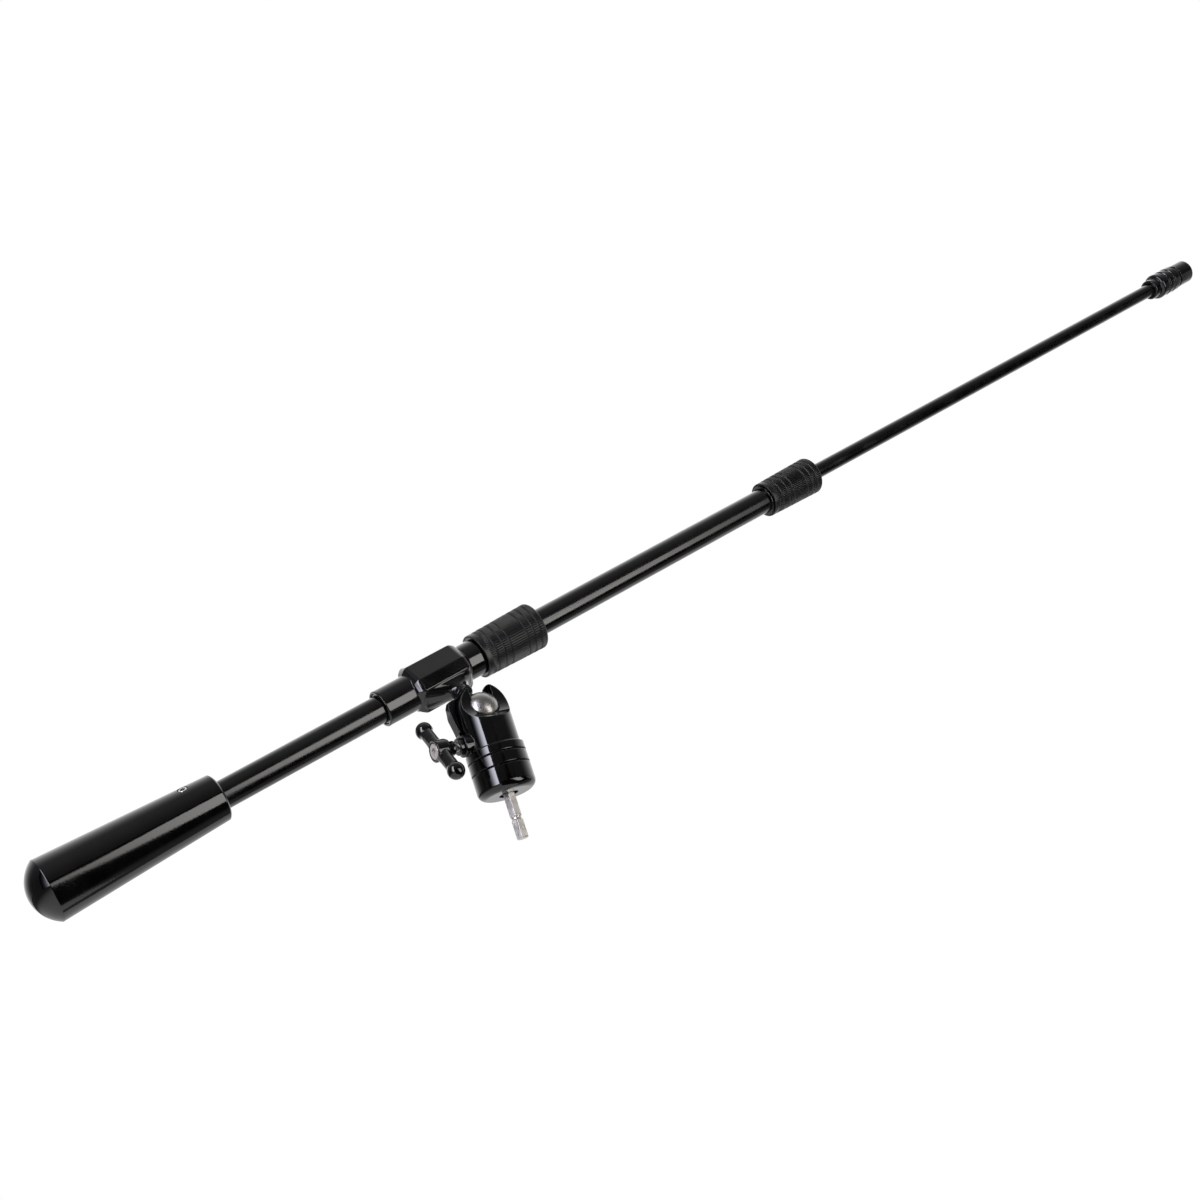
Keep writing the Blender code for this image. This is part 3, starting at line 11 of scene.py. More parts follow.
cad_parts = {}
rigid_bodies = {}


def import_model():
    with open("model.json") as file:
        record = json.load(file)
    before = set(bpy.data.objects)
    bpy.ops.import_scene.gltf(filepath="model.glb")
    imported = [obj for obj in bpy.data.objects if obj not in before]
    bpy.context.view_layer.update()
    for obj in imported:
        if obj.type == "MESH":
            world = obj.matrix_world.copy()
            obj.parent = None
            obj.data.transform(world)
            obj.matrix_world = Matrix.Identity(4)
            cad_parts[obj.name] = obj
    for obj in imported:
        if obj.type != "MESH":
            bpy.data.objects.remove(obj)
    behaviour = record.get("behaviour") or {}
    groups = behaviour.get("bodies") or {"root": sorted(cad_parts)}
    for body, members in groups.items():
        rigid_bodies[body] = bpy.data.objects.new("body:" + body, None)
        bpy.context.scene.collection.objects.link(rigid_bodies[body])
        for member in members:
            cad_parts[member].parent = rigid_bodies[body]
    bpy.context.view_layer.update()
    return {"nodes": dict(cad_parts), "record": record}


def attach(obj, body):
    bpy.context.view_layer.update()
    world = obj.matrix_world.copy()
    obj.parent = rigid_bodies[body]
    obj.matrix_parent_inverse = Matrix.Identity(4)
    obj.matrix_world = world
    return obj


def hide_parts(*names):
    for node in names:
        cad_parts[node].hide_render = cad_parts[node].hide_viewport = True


bl_info = {
    "name": "Boom Arm",
    "version": (1, 0, 0),
    "blender": (4, 5, 0),
    "location": "View3D > Sidebar > Boom Arm",
    "description": "Builds a telescopic boom arm with a ball swivel head",
    "category": "Object",
}

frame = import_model()


# Settings


def length(name, description, default):
    return FloatProperty(name=name, description=description, default=default, unit="LENGTH", precision=5)


def turn(name, description, degrees):
    return FloatProperty(
        name=name, description=description, default=math.radians(degrees), unit="ROTATION", precision=4
    )


def colour(name, description, default):
    return FloatVectorProperty(name=name, description=description, default=default, subtype="COLOR", size=3)


def xyz(name, description, default):
    return FloatVectorProperty(name=name, description=description, default=default, subtype="XYZ")


def amount(name, description, default):
    return FloatProperty(name=name, description=description, default=default, min=0.0)


class ArmAngles(bpy.types.PropertyGroup):
    """How the arm is set."""

    handle: turn("Handle bearing", "Bearing of the clamp screw round the head", 188.6)
    lean: turn("Stem lean", "Lean of the ball's stem from the head's axis", 36.6)
    bearing: turn("Stem bearing", "Bearing that the stem leans to", 112.9)
    bar: turn("Handle bar tilt", "Turn of the handle's bar from upright", 34.4)
    screw: turn("Set screw bearing", "Bearing of the set screws round the boom", -110.0)


class HeadSizes(bpy.types.PropertyGroup):
    """Sizes of the swivel head."""

    base: length("Base radius", "Radius of the base cap, pan ring and skirt", 0.0168)
    fillet: length("Base fillet", "Rounding under the base cap", 0.0045)
    cap: length("Cap height", "Height of the base cap", 0.0134)
    ring: length("Ring height", "Height of the pan ring", 0.0063)
    groove: length("Groove", "Gap above and below the pan ring", 0.0006)
    skirt: length("Skirt height", "Height of the housing's skirt", 0.0047)
    housing: length("Housing radius", "Radius of the housing above its skirt", 0.0152)
    ball: length("Ball radius", "Radius of the ball", 0.0100)
    ball_height: length("Ball height", "Ball's centre above the pin's end", 0.0750)
    slot: length("Slot half", "Half the stem's slot between the horns", 0.0069)
    horn: length("Horn half", "Half a horn's thickness", 0.0052)
    scoop: length("Scoop radius", "Curve below the horns", 0.0160)
    scoop_rise: length("Scoop rise", "Centre of that curve above the ball's", 0.0060)
    slit: length("Slit half", "Half the clamp's slit", 0.0008)
    slit_drop: length("Slit depth", "Slit's end below the ball's centre", 0.0120)
    ear: length("Ear reach", "Reach of the clamp's ear from the axis", 0.0188)
    pin_flats: length("Pin size", "Hex pin across its flats", 0.00635)
    pin: length("Pin length", "Length of the hex pin", 0.0254)
    notch: length("Notch height", "Middle of the pin's detent groove", 0.0115)


class ClampSizes(bpy.types.PropertyGroup):
    """Sizes of the clamp screw and its handle, from the head's axis."""

    drop: length("Screw drop", "Clamp screw below the ball's centre", 0.0184)
    boss: length("Boss radius", "Radius of the boss round the screw", 0.0063)
    boss_reach: length("Boss reach", "End of the boss", 0.0190)
    flange: length("Bush flange", "Radius of the bush's flange", 0.0048)
    screw: length("Screw radius", "Radius of the clamp screw", 0.0025)
    start: length("Handle start", "Near end of the handle's hub", 0.0240)
    end: length("Handle end", "Far face of the handle's hub", 0.0358)
    neck: length("Handle neck", "Radius of the hub's neck", 0.0042)
    hub: length("Handle hub", "Radius of the hub", 0.0062)
    bar: length("Bar place", "Centreline of the bar", 0.0321)
    half: length("Bar half", "Bar's middle to a ball end's centre", 0.0186)
    knob: length("Ball end", "Radius of the bar's ball ends", 0.0050)
    waist: length("Bar waist", "Radius of the bar's waist", 0.0039)
    head: length("Cap screw", "Radius of the handle screw's head", 0.0044)


class BoomSizes(bpy.types.PropertyGroup):
    """Sizes along the boom, its stations taken from the stem's axis."""

    arm: length("Arm", "Ball's centre to the boom's axis", 0.0380)
    gap: length("Gap", "Gap between pieces that touch", 0.0003)
    tube: length("Outer tube", "Radius of the outer tube", 0.0080)
    inner: length("Inner tube", "Radius of the inner tube", 0.0050)
    tail: length("Weight end", "Station of the counterweight's end", -0.2494)
    mouth: length("Weight mouth", "Station of the counterweight's mouth", -0.1427)
    weight: length("Weight radius", "Largest radius of the counterweight", 0.0175)
    weight_mouth: length("Weight mouth radius", "Radius of the counterweight at its mouth", 0.0134)
    collar_at: length("Collar", "Station of the pivot body's rear end", -0.0417)
    block_at: length("Block", "Station of the block's rear face", -0.0220)
    block_end: length("Block end", "Station of the block's front face", 0.0145)
    block: length("Block half", "Half the block across its flats", 0.0125)
    corner: length("Block corner", "Cut on the block's corners", 0.0050)
    collar: length("Collar radius", "Radius of the rear collar", 0.0108)
    clutch_at: length("Clutch", "Station of the main clutch's rear end", 0.0248)
    clutch_end: length("Clutch end", "Station of the main clutch's front end", 0.0680)
    grip_rear: length("Grip rear", "Radius of the main grip at its rear", 0.01325)
    grip_front: length("Grip front", "Radius of the main grip at its front", 0.01425)
    small_at: length("Tube clutch", "Station of the tube clutch's rear end", 0.2560)
    small_end: length("Tube clutch end", "Station of the tube clutch's front end", 0.2990)
    small_rear: length("Tube grip rear", "Radius of the tube grip at its rear", 0.0113)
    small_front: length("Tube grip front", "Radius of the tube grip at its front", 0.01215)
    coupler_at: length("Coupler", "Station of the coupler's rear end", 0.6710)
    coupler: length("Coupler radius", "Radius of the coupler's body", 0.0095)
    sleeve: length("Sleeve radius", "Radius of the coupler's sleeve", 0.0088)
    ribs: IntProperty(name="Ribs", description="Ribs round a grip", default=64, min=8)


class ArmColours(bpy.types.PropertyGroup):
    """Colours of the finishes."""

    coat: colour("Gloss coat", "Gloss powder coat", (0.0022, 0.0022, 0.0026))
    satin: colour("Satin coat", "Satin coat of the pivot body", (0.0035, 0.0035, 0.0038))
    tube: colour("Tube", "Black anodising of the tubes", (0.0024, 0.0024, 0.0029))
    rubber: colour("Rubber", "Rubber of the grips", (0.0036, 0.0036, 0.0045))
    stainless: colour("Stainless", "Stainless steel of the ball and pin", (0.52, 0.495, 0.475))
    steel: colour("Steel", "Machined steel inside", (0.45, 0.45, 0.46))
    nylon: colour("Nylon", "Pale moulded plastic inside", (0.62, 0.60, 0.55))
    paper: colour("Floor", "Pale floor", (0.86, 0.86, 0.86))


class StageSetting(bpy.types.PropertyGroup):
    """Camera and light."""

    lens: FloatProperty(name="Lens", description="Focal length in millimetres", default=48.82)
    camera: xyz("Camera", "Camera's place", (-0.31546, -0.81286, -0.15480))
    right: xyz("Camera right", "Camera's right", (0.88653, -0.33391, -0.32027))
    forward: xyz("Camera forward", "Camera's view", (0.42803, 0.85472, 0.29369))
    floor: length("Floor", "Height of the floor", -1.75)
    reach: length("Reach", "Distance of the soft boxes", 2.0)
    table: amount("Long box", "Brightness of the long soft box", 5.2)
    side: amount("Side strip", "Brightness of the strip light on the left", 13.0)
    rear: amount("Rear", "Brightness behind the arm in reflections", 1.8)
    below: amount("Below", "Brightness below the long soft box", 0.2)
    ambient: amount("Ambient", "Level of the even light", 0.8)


# Shader maths


class Value:
    """A shader socket that sums can be written with."""

    def __init__(self, finish, socket):
        self.finish = finish
        self.socket = socket

    def sum(self, operation, first, second):
        return self.finish.node("ShaderNodeMath", {"operation": operation}, {0: first, 1: second})

    def __add__(self, other):
        return self.sum("ADD", self, other)

    def __radd__(self, other):
        return self.sum("ADD", other, self)

    def __sub__(self, other):
        return self.sum("SUBTRACT", self, other)

    def __rsub__(self, other):
        return self.sum("SUBTRACT", other, self)

    def __mul__(self, other):
        return self.sum("MULTIPLY", self, other)

    def __rmul__(self, other):
        return self.sum("MULTIPLY", other, self)


class Finish:
    """A node tree that is written as Python."""

    def __init__(self, tree):
        self.tree = tree
        tree.nodes.clear()

    def node(self, kind, settings=None, inputs=None, output=0):
        made = self.tree.nodes.new(kind)
        for name, value in (settings or {}).items():
            setattr(made, name, value)
        for name, value in (inputs or {}).items():
            if isinstance(value, Value):
                self.tree.links.new(value.socket, made.inputs[name])
            else:
                made.inputs[name].default_value = value
        return Value(self, made.outputs[output]) if len(made.outputs) else None

    def place(self, stretch=(1.0, 1.0, 1.0)):
        """The piece's own coordinates, stretched."""
        at = self.node("ShaderNodeTexCoord", output="Object")
        return self.node("ShaderNodeMapping", inputs={"Vector": at, "Scale": stretch})

    def noise(self, size, detail=3.0, stretch=(1.0, 1.0, 1.0), rough=0.55):
        """Noise whose grains are about this size in metres."""
        inputs = {"Vector": self.place(stretch), "Scale": 1.0 / size, "Detail": detail, "Roughness": rough}
        return self.node("ShaderNodeTexNoise", {}, inputs)

    def step(self, value, low, high, out_low=0.0, out_high=1.0):
        """value eased from low to high."""
        settings = {"interpolation_type": "SMOOTHSTEP", "clamp": True}
        inputs = {"Value": value, "From Min": low, "From Max": high, "To Min": out_low, "To Max": out_high}
        return self.node("ShaderNodeMapRange", settings, inputs)

    def mix(self, first, second, factor):
        """Two colours mixed."""
        settings = {"data_type": "RGBA"}
        return self.node("ShaderNodeMix", settings, {0: factor, 6: first, 7: second}, output=2)

    def along(self, place, way):
        """How far a place lies along a direction."""
        settings = {"operation": "DOT_PRODUCT"}
        return self.node("ShaderNodeVectorMath", settings, {0: place, 1: tuple(way)}, output="Value")

    def ray(self, kind):
        """1 for rays of this kind, else 0."""
        return self.node("ShaderNodeLightPath", output=f"Is {kind} Ray")

    def bump(self, height, distance):
        return self.node("ShaderNodeBump", {}, {"Height": height, "Distance": distance})

    def surface(self, **inputs):
        named = {name.replace("_", " "): value for name, value in inputs.items()}
        shader = self.node("ShaderNodeBsdfPrincipled", {}, named)
        self.node("ShaderNodeOutputMaterial", {}, {"Surface": shader})


def rgba(tint, scale=1.0):
    return (tint[0] * scale, tint[1] * scale, tint[2] * scale, 1.0)


def new_finish(name):
    made = bpy.data.materials.new("fine_" + name)
    made.use_nodes = True
    return made, Finish(made.node_tree)


DUST = (0.09, 0.088, 0.085)


def coat_finish(name, tint, rough, peel):
    """Black paint or anodising: faint cloudiness, orange peel, hairlines and a little dust."""
    made, f = new_finish(name)
    cloud = f.noise(0.012, 4.0)
    fine = f.noise(0.00045, 2.0)
    hair = f.step(f.noise(0.0016, 6.0, (1.0, 1.0, 0.06), 0.7), 0.66, 0.80)
    dust = f.step(f.noise(0.0004, 1.0), 0.735, 0.80) * f.step(cloud, 0.45, 0.7)
    base = f.mix(rgba(tint, 0.75), rgba(tint, 1.45), f.step(cloud, 0.3, 0.7))
    base = f.mix(base, rgba(DUST), dust * 0.6)
    wear = f.step(cloud, 0.25, 0.75, rough * 0.8, rough * 1.3)
    f.surface(
        Base_Color=base,
        Roughness=wear + hair * 0.10 + dust * 0.25,
        Normal=f.bump(f.noise(0.0011, 2.0) * 0.7 + fine * 0.3, peel),
        IOR=1.52,
    )
    return made


def rubber_finish(name, tint):
    """Moulded rubber with a fine grain, greyer where it has been handled."""
    made, f = new_finish(name)
    cloud = f.noise(0.006, 4.0)
    grain = f.noise(0.0003, 2.0)
    dust = f.step(grain * 0.3 + cloud * 0.7, 0.50, 0.70)
    f.surface(
        Base_Color=f.mix(rgba(tint, 0.8), rgba(tint, 1.5), dust),
        Roughness=f.step(cloud, 0.3, 0.7, 0.36, 0.40),
        Normal=f.bump(grain, 0.000002),
        IOR=1.46,
    )
    return made


def metal_finish(name, tint, rough, drawn, depth=0.000002, coat=0.0):
    """Bare metal with fine marks: along the piece where drawn, round it where turned."""
    made, f = new_finish(name)
    stretch = (1.0, 1.0, 0.03) if drawn else (0.03, 0.03, 1.0)
    marks = f.noise(0.00018, 4.0, stretch, 0.65)
    cloud = f.noise(0.004, 3.0)
    base = f.mix(rgba(tint, 0.86), rgba(tint, 1.05), f.step(marks * 0.6 + cloud * 0.4, 0.35, 0.65))
    f.surface(
        Base_Color=base,
        Metallic=1.0,
        Roughness=f.step(marks * 0.5 + cloud * 0.5, 0.3, 0.7, rough * 0.75, rough * 1.25),
        Normal=f.bump(marks, depth),
        Coat_Weight=coat,
        Coat_Roughness=0.04,
    )
    return made


def moulded_finish(name, tint):
    """Pale moulded plastic."""
    made, f = new_finish(name)
    cloud = f.noise(0.005, 3.0)
    f.surface(
        Base_Color=f.mix(rgba(tint, 0.9), rgba(tint, 1.05), cloud),
        Roughness=f.step(cloud, 0.3, 0.7, 0.42, 0.58),
        Normal=f.bump(f.noise(0.0003, 2.0), 0.00001),
        Subsurface_Weight=0.05,
    )
    return made


FINISHES = {
    "gloss_black": lambda c: coat_finish("gloss_black", c.coat, 0.07, 0.000006),
    "weight_black": lambda c: coat_finish("weight_black", c.coat, 0.07, 0.000016),
    "satin_black": lambda c: coat_finish("satin_black", c.satin, 0.11, 0.000006),
    "anodised_black": lambda c: coat_finish("anodised_black", c.tube, 0.16, 0.000003),
    "rubber_black": lambda c: rubber_finish("rubber_black", c.rubber),
    "stainless": lambda c: metal_finish("stainless", c.stainless, 0.42, True, depth=0.0000004),
    "ball_steel": lambda c: metal_finish("ball_steel", Vector(c.stainless) * 0.5, 0.40, False, coat=1.0),
    "steel": lambda c: metal_finish("steel", c.steel, 0.32, False),
    "nylon": lambda c: moulded_finish("nylon", c.nylon),
}


def finish(name):
    if "fine_" + name not in bpy.data.materials:
        FINISHES[name](bpy.context.scene.arm_colours)
    return bpy.data.materials["fine_" + name]


# Places

SIDEWAYS = Matrix.Rotation(math.pi / 2, 4, "Y")


def axes_at(origin, x_axis, z_axis):
    z_axis = Vector(z_axis).normalized()
    x_axis = Vector(x_axis).normalized()
    turned_axes = Matrix((x_axis, z_axis.cross(x_axis), z_axis)).transposed()
    return Matrix.Translation(origin) @ turned_axes.to_4x4()


def places():
    """The frames of the head, clamp screw, stem and boom."""
    scene = bpy.context.scene
    angles, sizes, clamp, boom = scene.arm_angles, scene.head_sizes, scene.clamp_sizes, scene.boom_sizes
    way = Vector((math.cos(angles.handle), math.sin(angles.handle), 0.0))
    lean = math.sin(angles.lean)
    stem = Vector((lean * math.cos(angles.bearing), lean * math.sin(angles.bearing), math.cos(angles.lean)))
    along = Vector((stem.z, 0.0, -stem.x)).normalized()
    ball = Vector((0.0, 0.0, sizes.ball_height))
    head = axes_at((0, 0, 0), way, (0, 0, 1))
    return {
        "head": head,
        "clamp": head @ Matrix.Translation((0, 0, ball.z - clamp.drop)) @ SIDEWAYS,
        "stem": axes_at(ball, along, stem),
        "boom": axes_at(ball + stem * boom.arm, -stem, along),
    }


# Mesh tools


def arc(centre_r, centre_z, radius, start, end, steps=16):
    """Points of an arc in a profile, its angles in degrees from the outward direction."""
    points = []
    for step in range(steps + 1):
        angle = math.radians(start + (end - start) * step / steps)
        points.append((max(centre_r + radius * math.cos(angle), 0.0), centre_z + radius * math.sin(angle)))
    return points


def eased(profile, steps=4):
    """Rounds each (radius, height, fillet) corner of a profile."""
    corners = [Vector(point[:2]) for point in profile]
    points = []
    for i, point in enumerate(profile):
        here = corners[i]
        if len(point) < 3 or i in (0, len(profile) - 1):
            points.append(tuple(here))
            continue
        to_last, to_next = corners[i - 1] - here, corners[i + 1] - here
        fillet = min(point[2], to_last.length * 0.49, to_next.length * 0.49)
        start, end = here + to_last.normalized() * fillet, here + to_next.normalized() * fillet
        for step in range(steps + 1):
            t = step / steps
            points.append(tuple(start * (1 - t) ** 2 + here * 2 * t * (1 - t) + end * t * t))
    return points


def circle(radius, height, sides):
    angles = [math.tau * i / sides for i in range(sides)]
    return [(radius * math.cos(angle), radius * math.sin(angle), height) for angle in angles]


def turned(profile, sides=96):
    """A profile spun round Z. One that leaves the axis is closed."""
    bm = bmesh.new()
    rings = []
    for radius, height in profile:
        points = [(0.0, 0.0, height)] if radius < 1e-7 else circle(radius, height, sides)
        rings.append([bm.verts.new(point) for point in points])
    pairs = list(zip(rings, rings[1:]))
    if len(rings[0]) > 1:
        pairs.append((rings[-1], rings[0]))
    for low, high in pairs:
        for i in range(sides):
            j = (i + 1) % sides
            corners = [low[i % len(low)], low[j % len(low)], high[j % len(high)], high[i % len(high)]]
            corners = list(dict.fromkeys(corners))
            if len(corners) > 2:
                bm.faces.new(corners)
    return bm


def rod(radius, low, high, sides=64):
    return turned([(0, low), (radius, low), (radius, high), (0, high)], sides)


def pipe(bore, radius, low, high, sides, fillet=0.0002):
    """A plain tube with its outer edges eased."""
    return turned(eased([(bore, low), (radius, low, fillet), (radius, high, fillet), (bore, high)]), sides)


def loft(rings, joined=False):
    """Skins rings of points, capping the ends or joining the last to the first."""
    bm = bmesh.new()
    rows = [[bm.verts.new(point) for point in ring] for ring in rings]
    pairs = list(zip(rows, rows[1:]))
    if joined:
        pairs.append((rows[-1], rows[0]))
    else:
        bm.faces.new(rows[0])
        bm.faces.new(rows[-1])
    for near, far in pairs:
        for i in range(len(near)):
            j = (i + 1) % len(near)
            bm.faces.new((near[i], near[j], far[j], far[i]))
    return bm


def prism(outline, low, high):
    return loft([[(x, y, height) for x, y in outline] for height in (low, high)])


def box(low, high):
    (left, front, bottom), (right, back, top) = low, high
    return prism([(left, front), (right, front), (right, back), (left, back)], bottom, top)


def hexagon(flats):
    return [point[:2] for point in circle(flats / math.sqrt(3), 0.0, 6)]


def shape(name, bm):
    """A mesh object facing outwards."""
    bmesh.ops.recalc_face_normals(bm, faces=bm.faces)
    mesh = bpy.data.meshes.new(name)
    bm.to_mesh(mesh)
    bm.free()
    obj = bpy.data.objects.new(name, mesh)
    bpy.context.scene.collection.objects.link(obj)
    return obj


def settle(obj):
    """Keeps what an object's modifiers make."""
    graph = bpy.context.evaluated_depsgraph_get()
    made = bpy.data.meshes.new_from_object(obj.evaluated_get(graph))
    obj.modifiers.clear()
    obj.data = made


def combine(obj, bm, operation, turn_by=None):
    other = shape("tool", bm)
    if turn_by:
        other.matrix_world = turn_by
    step = obj.modifiers.new("step", "BOOLEAN")
    step.operation = operation
    step.solver = "EXACT"
    step.object = other
    bpy.context.view_layer.update()
    settle(obj)
    bpy.data.objects.remove(other)


def melt(obj, voxel, passes=4):
    """Softens the edges of a cast or machined shape."""
    remesh = obj.modifiers.new("melt", "REMESH")
    remesh.mode = "VOXEL"
    remesh.voxel_size = voxel
    smooth = obj.modifiers.new("smooth", "SMOOTH")
    smooth.factor = 0.5
    smooth.iterations = passes
    settle(obj)


# pieces with more faces than this are melted, and have no sharp edges
DENSE = 60000
SHARP = math.radians(40)


def piece(obj, body, place, material, *nodes):
    """A finished piece set in its place, riding on its body."""
    obj.data.shade_smooth()
    if len(obj.data.polygons) < DENSE:
        obj.data.set_sharp_from_angle(angle=SHARP)
        obj.modifiers.new("weighted", "WEIGHTED_NORMAL").keep_sharp = True
    obj.data.materials.clear()
    obj.data.materials.append(finish(material))
    obj.matrix_world = place
    bpy.context.view_layer.update()
    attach(obj, body)
    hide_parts(*nodes)
    {"weight_black": "gloss_black", "ball_steel": "stainless"}.get(material, material)
    return obj


# Pieces

# reach of the pivot body's flare toward the ball
FLARE = 0.0190


class Builder(bpy.types.Operator):
    """Shares the setting between the pieces' operators."""

    bl_options = {"REGISTER", "UNDO"}

    def execute(self, context):
        scene = context.scene
        self.head, self.clamp, self.boom = scene.head_sizes, scene.clamp_sizes, scene.boom_sizes
        self.angles, self.places = scene.arm_angles, places()
        self.build()
        return {"FINISHED"}


class ARM_OT_base(Builder):
    """Hex pin, base cap and pan ring"""

    bl_idname = "arm.base"
    bl_label = "Base"

    def build(self):
        z, r = self.head, self.head.base
        corner = z.pin_flats / math.sqrt(3)
        place = self.places["head"]
        pin = shape("hex_pin_fine", prism(hexagon(z.pin_flats), 0.0, z.pin + 0.0032))
        step = pin.modifiers.new("edges", "BEVEL")
        step.width, step.segments = 0.00018, 3
        settle(pin)
        outside, groove = corner + 0.001, 0.0015
        notch = arc(corner + 0.0006, z.notch, groove, 90, 270, 12)
        notch = [(outside, z.notch + groove)] + notch + [(outside, z.notch - groove)]
        combine(pin, turned(notch), "DIFFERENCE")
        face, below = corner - 0.0008, -0.0003
        tip = [(face, below), (outside, below), (outside, 0.0012), (corner, 0.0007), (face, 0.0)]
        combine(pin, turned(tip), "DIFFERENCE")
        piece(pin, "base", place, "stainless", "hex_pin")

        low, top = z.pin, z.pin + z.cap
        recess, hole, spindle = 0.0054, corner + 0.0003, 0.0063
        floor, shoulder = low + 0.0012, low + 0.0046
        cap = [(recess, floor), (recess, low, 0.0003), (r - z.fillet, low)]
        cap += arc(r - z.fillet, low + z.fillet, z.fillet, -90, 0)
        cap += [(r, top, 0.0005), (spindle, top), (spindle, shoulder), (hole, shoulder), (hole, floor)]
        piece(shape("base_cap_fine", turned(eased(cap), 128)), "base", place, "gloss_black", "base_cap")
        low = top + z.groove
        top = low + z.ring
        dish, dish_floor = 0.0125, top - 0.0011
        ring = [(spindle, low), (r, low, 0.0005), (r, top, 0.0005)]
        ring += [(dish, top), (dish, dish_floor), (spindle, dish_floor)]
        piece(shape("pan_ring_fine", turned(eased(ring), 128)), "base", place, "gloss_black", "pan_ring")


class ARM_OT_housing(Builder):
    """Split swivel housing with its horns, ear and boss"""

    bl_idname = "arm.housing"
    bl_label = "Swivel housing"

    def scoop(self, side):
        """What is cut away beside the horns, with a curve at its foot."""
        z, high = self.head, self.head.ball_height
        beyond = z.housing * 2
        outline = arc(z.horn + z.scoop, z.scoop_rise, z.scoop, 180, 270, 32)
        outline += [(beyond, z.scoop_rise - z.scoop), (beyond, beyond), (z.horn, beyond)]
        return loft([[(x, side * y, high + h) for y, h in outline] for x in (-beyond, beyond)])

    def build(self):
        z, c = self.head, self.clamp
        ball_z, bore = z.ball_height, z.ball + self.boom.gap
        low = z.pin + z.cap + z.ring + z.groove * 2
        shelf, skirt = low + 0.0040, low + z.skirt
        slot_angle = math.degrees(math.acos(z.slot / z.housing))
        lip_angle = math.degrees(math.acos(z.slot / bore))
        inside = 0.0132
        wall = [(inside, low), (z.base, low, 0.0005), (z.base, skirt, 0.0005)]
        wall += [(z.housing, skirt + 0.0004, 0.0003), (z.housing, ball_z)]
        dome = arc(0.0, ball_z, z.housing, 1, slot_angle, 40) + arc(0.0, ball_z, bore, lip_angle, 0, 40)
        body = turned(eased(wall) + dome + [(bore, shelf), (inside, shelf)], 160)
        housing = shape("swivel_housing_fine", body)
        over = ball_z + z.housing * 2
        reach = z.ear
        ear = [
            (z.ball + 0.0022, -c.drop - 0.0030),
            (z.housing + 0.0003, -c.drop - 0.0010),
            (reach - 0.0015, -0.0075),
            (reach, 0.0005),
            (reach, 0.0050),
            (reach - 0.0015, 0.0080),
            (z.ball + 0.0022, 0.0095),
        ]
        sides = ((-z.slit / 2, 0), (-0.0068, 0), (-0.0078, 0.001))
        rings = [[(x - inset, y, ball_z + h) for x, h in ear] for y, inset in sides]
        combine(housing, loft(rings), "UNION")
        combine(housing, box((-z.slot, -z.housing * 2, ball_z), (z.slot, z.housing * 2, over)), "DIFFERENCE")
        combine(housing, self.scoop(1), "DIFFERENCE")
        combine(housing, self.scoop(-1), "DIFFERENCE")
        slit = box((z.ball / 2, -z.slit, ball_z - z.slit_drop), (reach * 2, z.slit, over))
        combine(housing, slit, "DIFFERENCE")
        relief = Matrix.Translation((0, 0, ball_z - z.slit_drop)) @ SIDEWAYS
        combine(housing, rod(0.0020, z.ball / 2, reach + 0.0005), "DIFFERENCE", relief)
        at_screw = Matrix.Translation((0, 0, ball_z - c.drop)) @ SIDEWAYS
        bush_bore, root = 0.0045, bore + 0.0003
        combine(housing, rod(bush_bore, z.ball / 2, c.boss_reach + 0.0005), "DIFFERENCE", at_screw)
        boss = [(bush_bore, root), (c.boss, root), (c.boss, c.boss_reach, 0.0006), (bush_bore, c.boss_reach)]
        combine(housing, turned(eased(boss), 96), "UNION", at_screw)
        melt(housing, 0.00019)
        piece(housing, "head", self.places["head"], "gloss_black", "swivel_housing")


